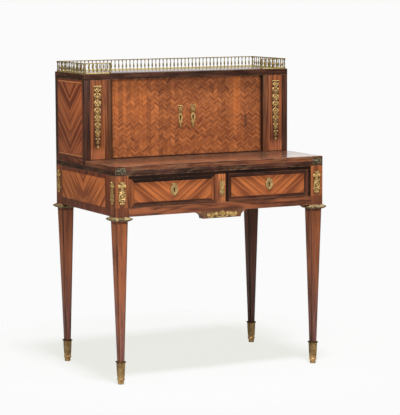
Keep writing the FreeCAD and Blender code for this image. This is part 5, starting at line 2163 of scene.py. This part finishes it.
@dataclass(frozen=True)
class Studio:
    """Pale floor, white surroundings and soft lamps."""

    white: float = 0.965
    fill: float = 0.36
    dark_room: Point3 = (0.17, 0.125, 0.09)
    backdrop_way: Point3 = (0.457, 0.889, 0.0)
    floor_glow: Point3 = (0.743, 0.755, 0.688)
    floor_seen: Point3 = (0.153, 0.145, 0.19)
    floor_bounce: float = 0.6
    floor_gloss: float = 0.3
    floor_radius: float = 2.6
    floor_fade: Point2 = (0.6, 1.05)
    floor_middle: Point3 = (0.05, 0.15, 0.0)
    floor_sides: int = 64
    lamps: tuple[SoftBox, ...] = (SoftBox("Overhead", (-0.45, -2.1, 8), (0.0, 0.05, 0.6), (1.4, 1.1), 680),
        SoftBox("Front", (-0.9, -3.3, 2.3), (0.0, 0.0, 0.7), (1.6, 1.4), 46),
        SoftBox("Left", (-3.2, -1.6, 1.6), (0.0, 0.0, 0.7), (1.2, 1.4), 15),)

    def surroundings(self) -> None:
        """White for the camera. Gloss sees a white backdrop behind the desk and a dark room elsewhere."""
        world = bpy.data.worlds.new("Studio")
        world.use_nodes = True
        world.node_tree.nodes.clear()
        graph = Graph(world.node_tree)
        way = graph.value("ShaderNodeTexCoord", "Generated")
        behind = graph.value("ShaderNodeVectorMath", "Value", {0: way, 1: self.backdrop_way},
            operation="DOT_PRODUCT").rise(0.86, 0.96)
        white = graph.join(self.white, self.white, self.white)
        seen = graph.join(*self.dark_room).mix(behind, white)
        path = LightPath(graph)
        strength = graph.join(self.fill, self.fill, self.fill).mix(path.gloss.most(path.through), seen)
        sky = graph.value("ShaderNodeBackground", 0, {"Color": strength.mix(path.camera, white)})
        graph.add("ShaderNodeOutputWorld", {"Surface": sky})
        bpy.context.scene.world = world

    def floor(self) -> None:
        """A pale floor that holds the shadow and, to the camera, fades into the white round it."""
        angles = [math.tau * k / self.floor_sides for k in range(self.floor_sides)]
        mesh = bpy.data.meshes.new("Floor")
        mesh.from_pydata([(self.floor_radius * math.cos(a), self.floor_radius * math.sin(a), 0)
            for a in angles], [], [tuple(range(self.floor_sides))])
        floor = bpy.data.objects.new("Floor", mesh)
        bpy.context.scene.collection.objects.link(floor)
        paper = bpy.data.materials.new("Studio paper")
        paper.use_nodes = True
        paper.node_tree.nodes.clear()
        graph = Graph(paper.node_tree)
        path = LightPath(graph)
        shade = path.gloss * (self.floor_gloss - self.floor_bounce) + self.floor_bounce
        colour = graph.join(shade, shade, shade).mix(path.camera, graph.join(*self.floor_seen))
        paint = graph.value("ShaderNodeAddShader", 0,
            {0: graph.value("ShaderNodeBsdfDiffuse", 0, {"Color": colour}),
            1: graph.value("ShaderNodeEmission", 0,
            {"Color": graph.join(*self.floor_glow), "Strength": path.camera})})
        x, y, _ = (graph.place() - self.floor_middle).split()
        away = (x * x + y * y).math("SQRT")
        blend = graph.value("ShaderNodeMixShader", 0,
            {0: away.rise(*self.floor_fade) * path.camera, 1: paint,
            2: graph.value("ShaderNodeBsdfTransparent")})
        graph.add("ShaderNodeOutputMaterial", {"Surface": blend})
        mesh.materials.append(paper)

    def build(self) -> None:
        """Sets the studio up."""
        self.surroundings()
        self.floor()
        for lamp in self.lamps:
            lamp.build()
        bpy.context.scene.view_settings.view_transform = "Standard"


def main() -> None:
    """Builds the camera and the studio, then the desk piece by piece."""
    logging.basicConfig(level=logging.INFO, format="%(message)s")
    finishes = Finishes()
    copies = Instancer()
    Camera().build()
    Studio().build()
    Stand(finishes).build()
    Frieze(finishes).build()
    Drawers(finishes).build()
    Boards(finishes, copies).build()
    Cabinet(finishes).build()
    Tambour(finishes, copies).build()
    Gallery(finishes, copies).build()
    Mounts(finishes).build()


if __name__ == "__main__":
    main()
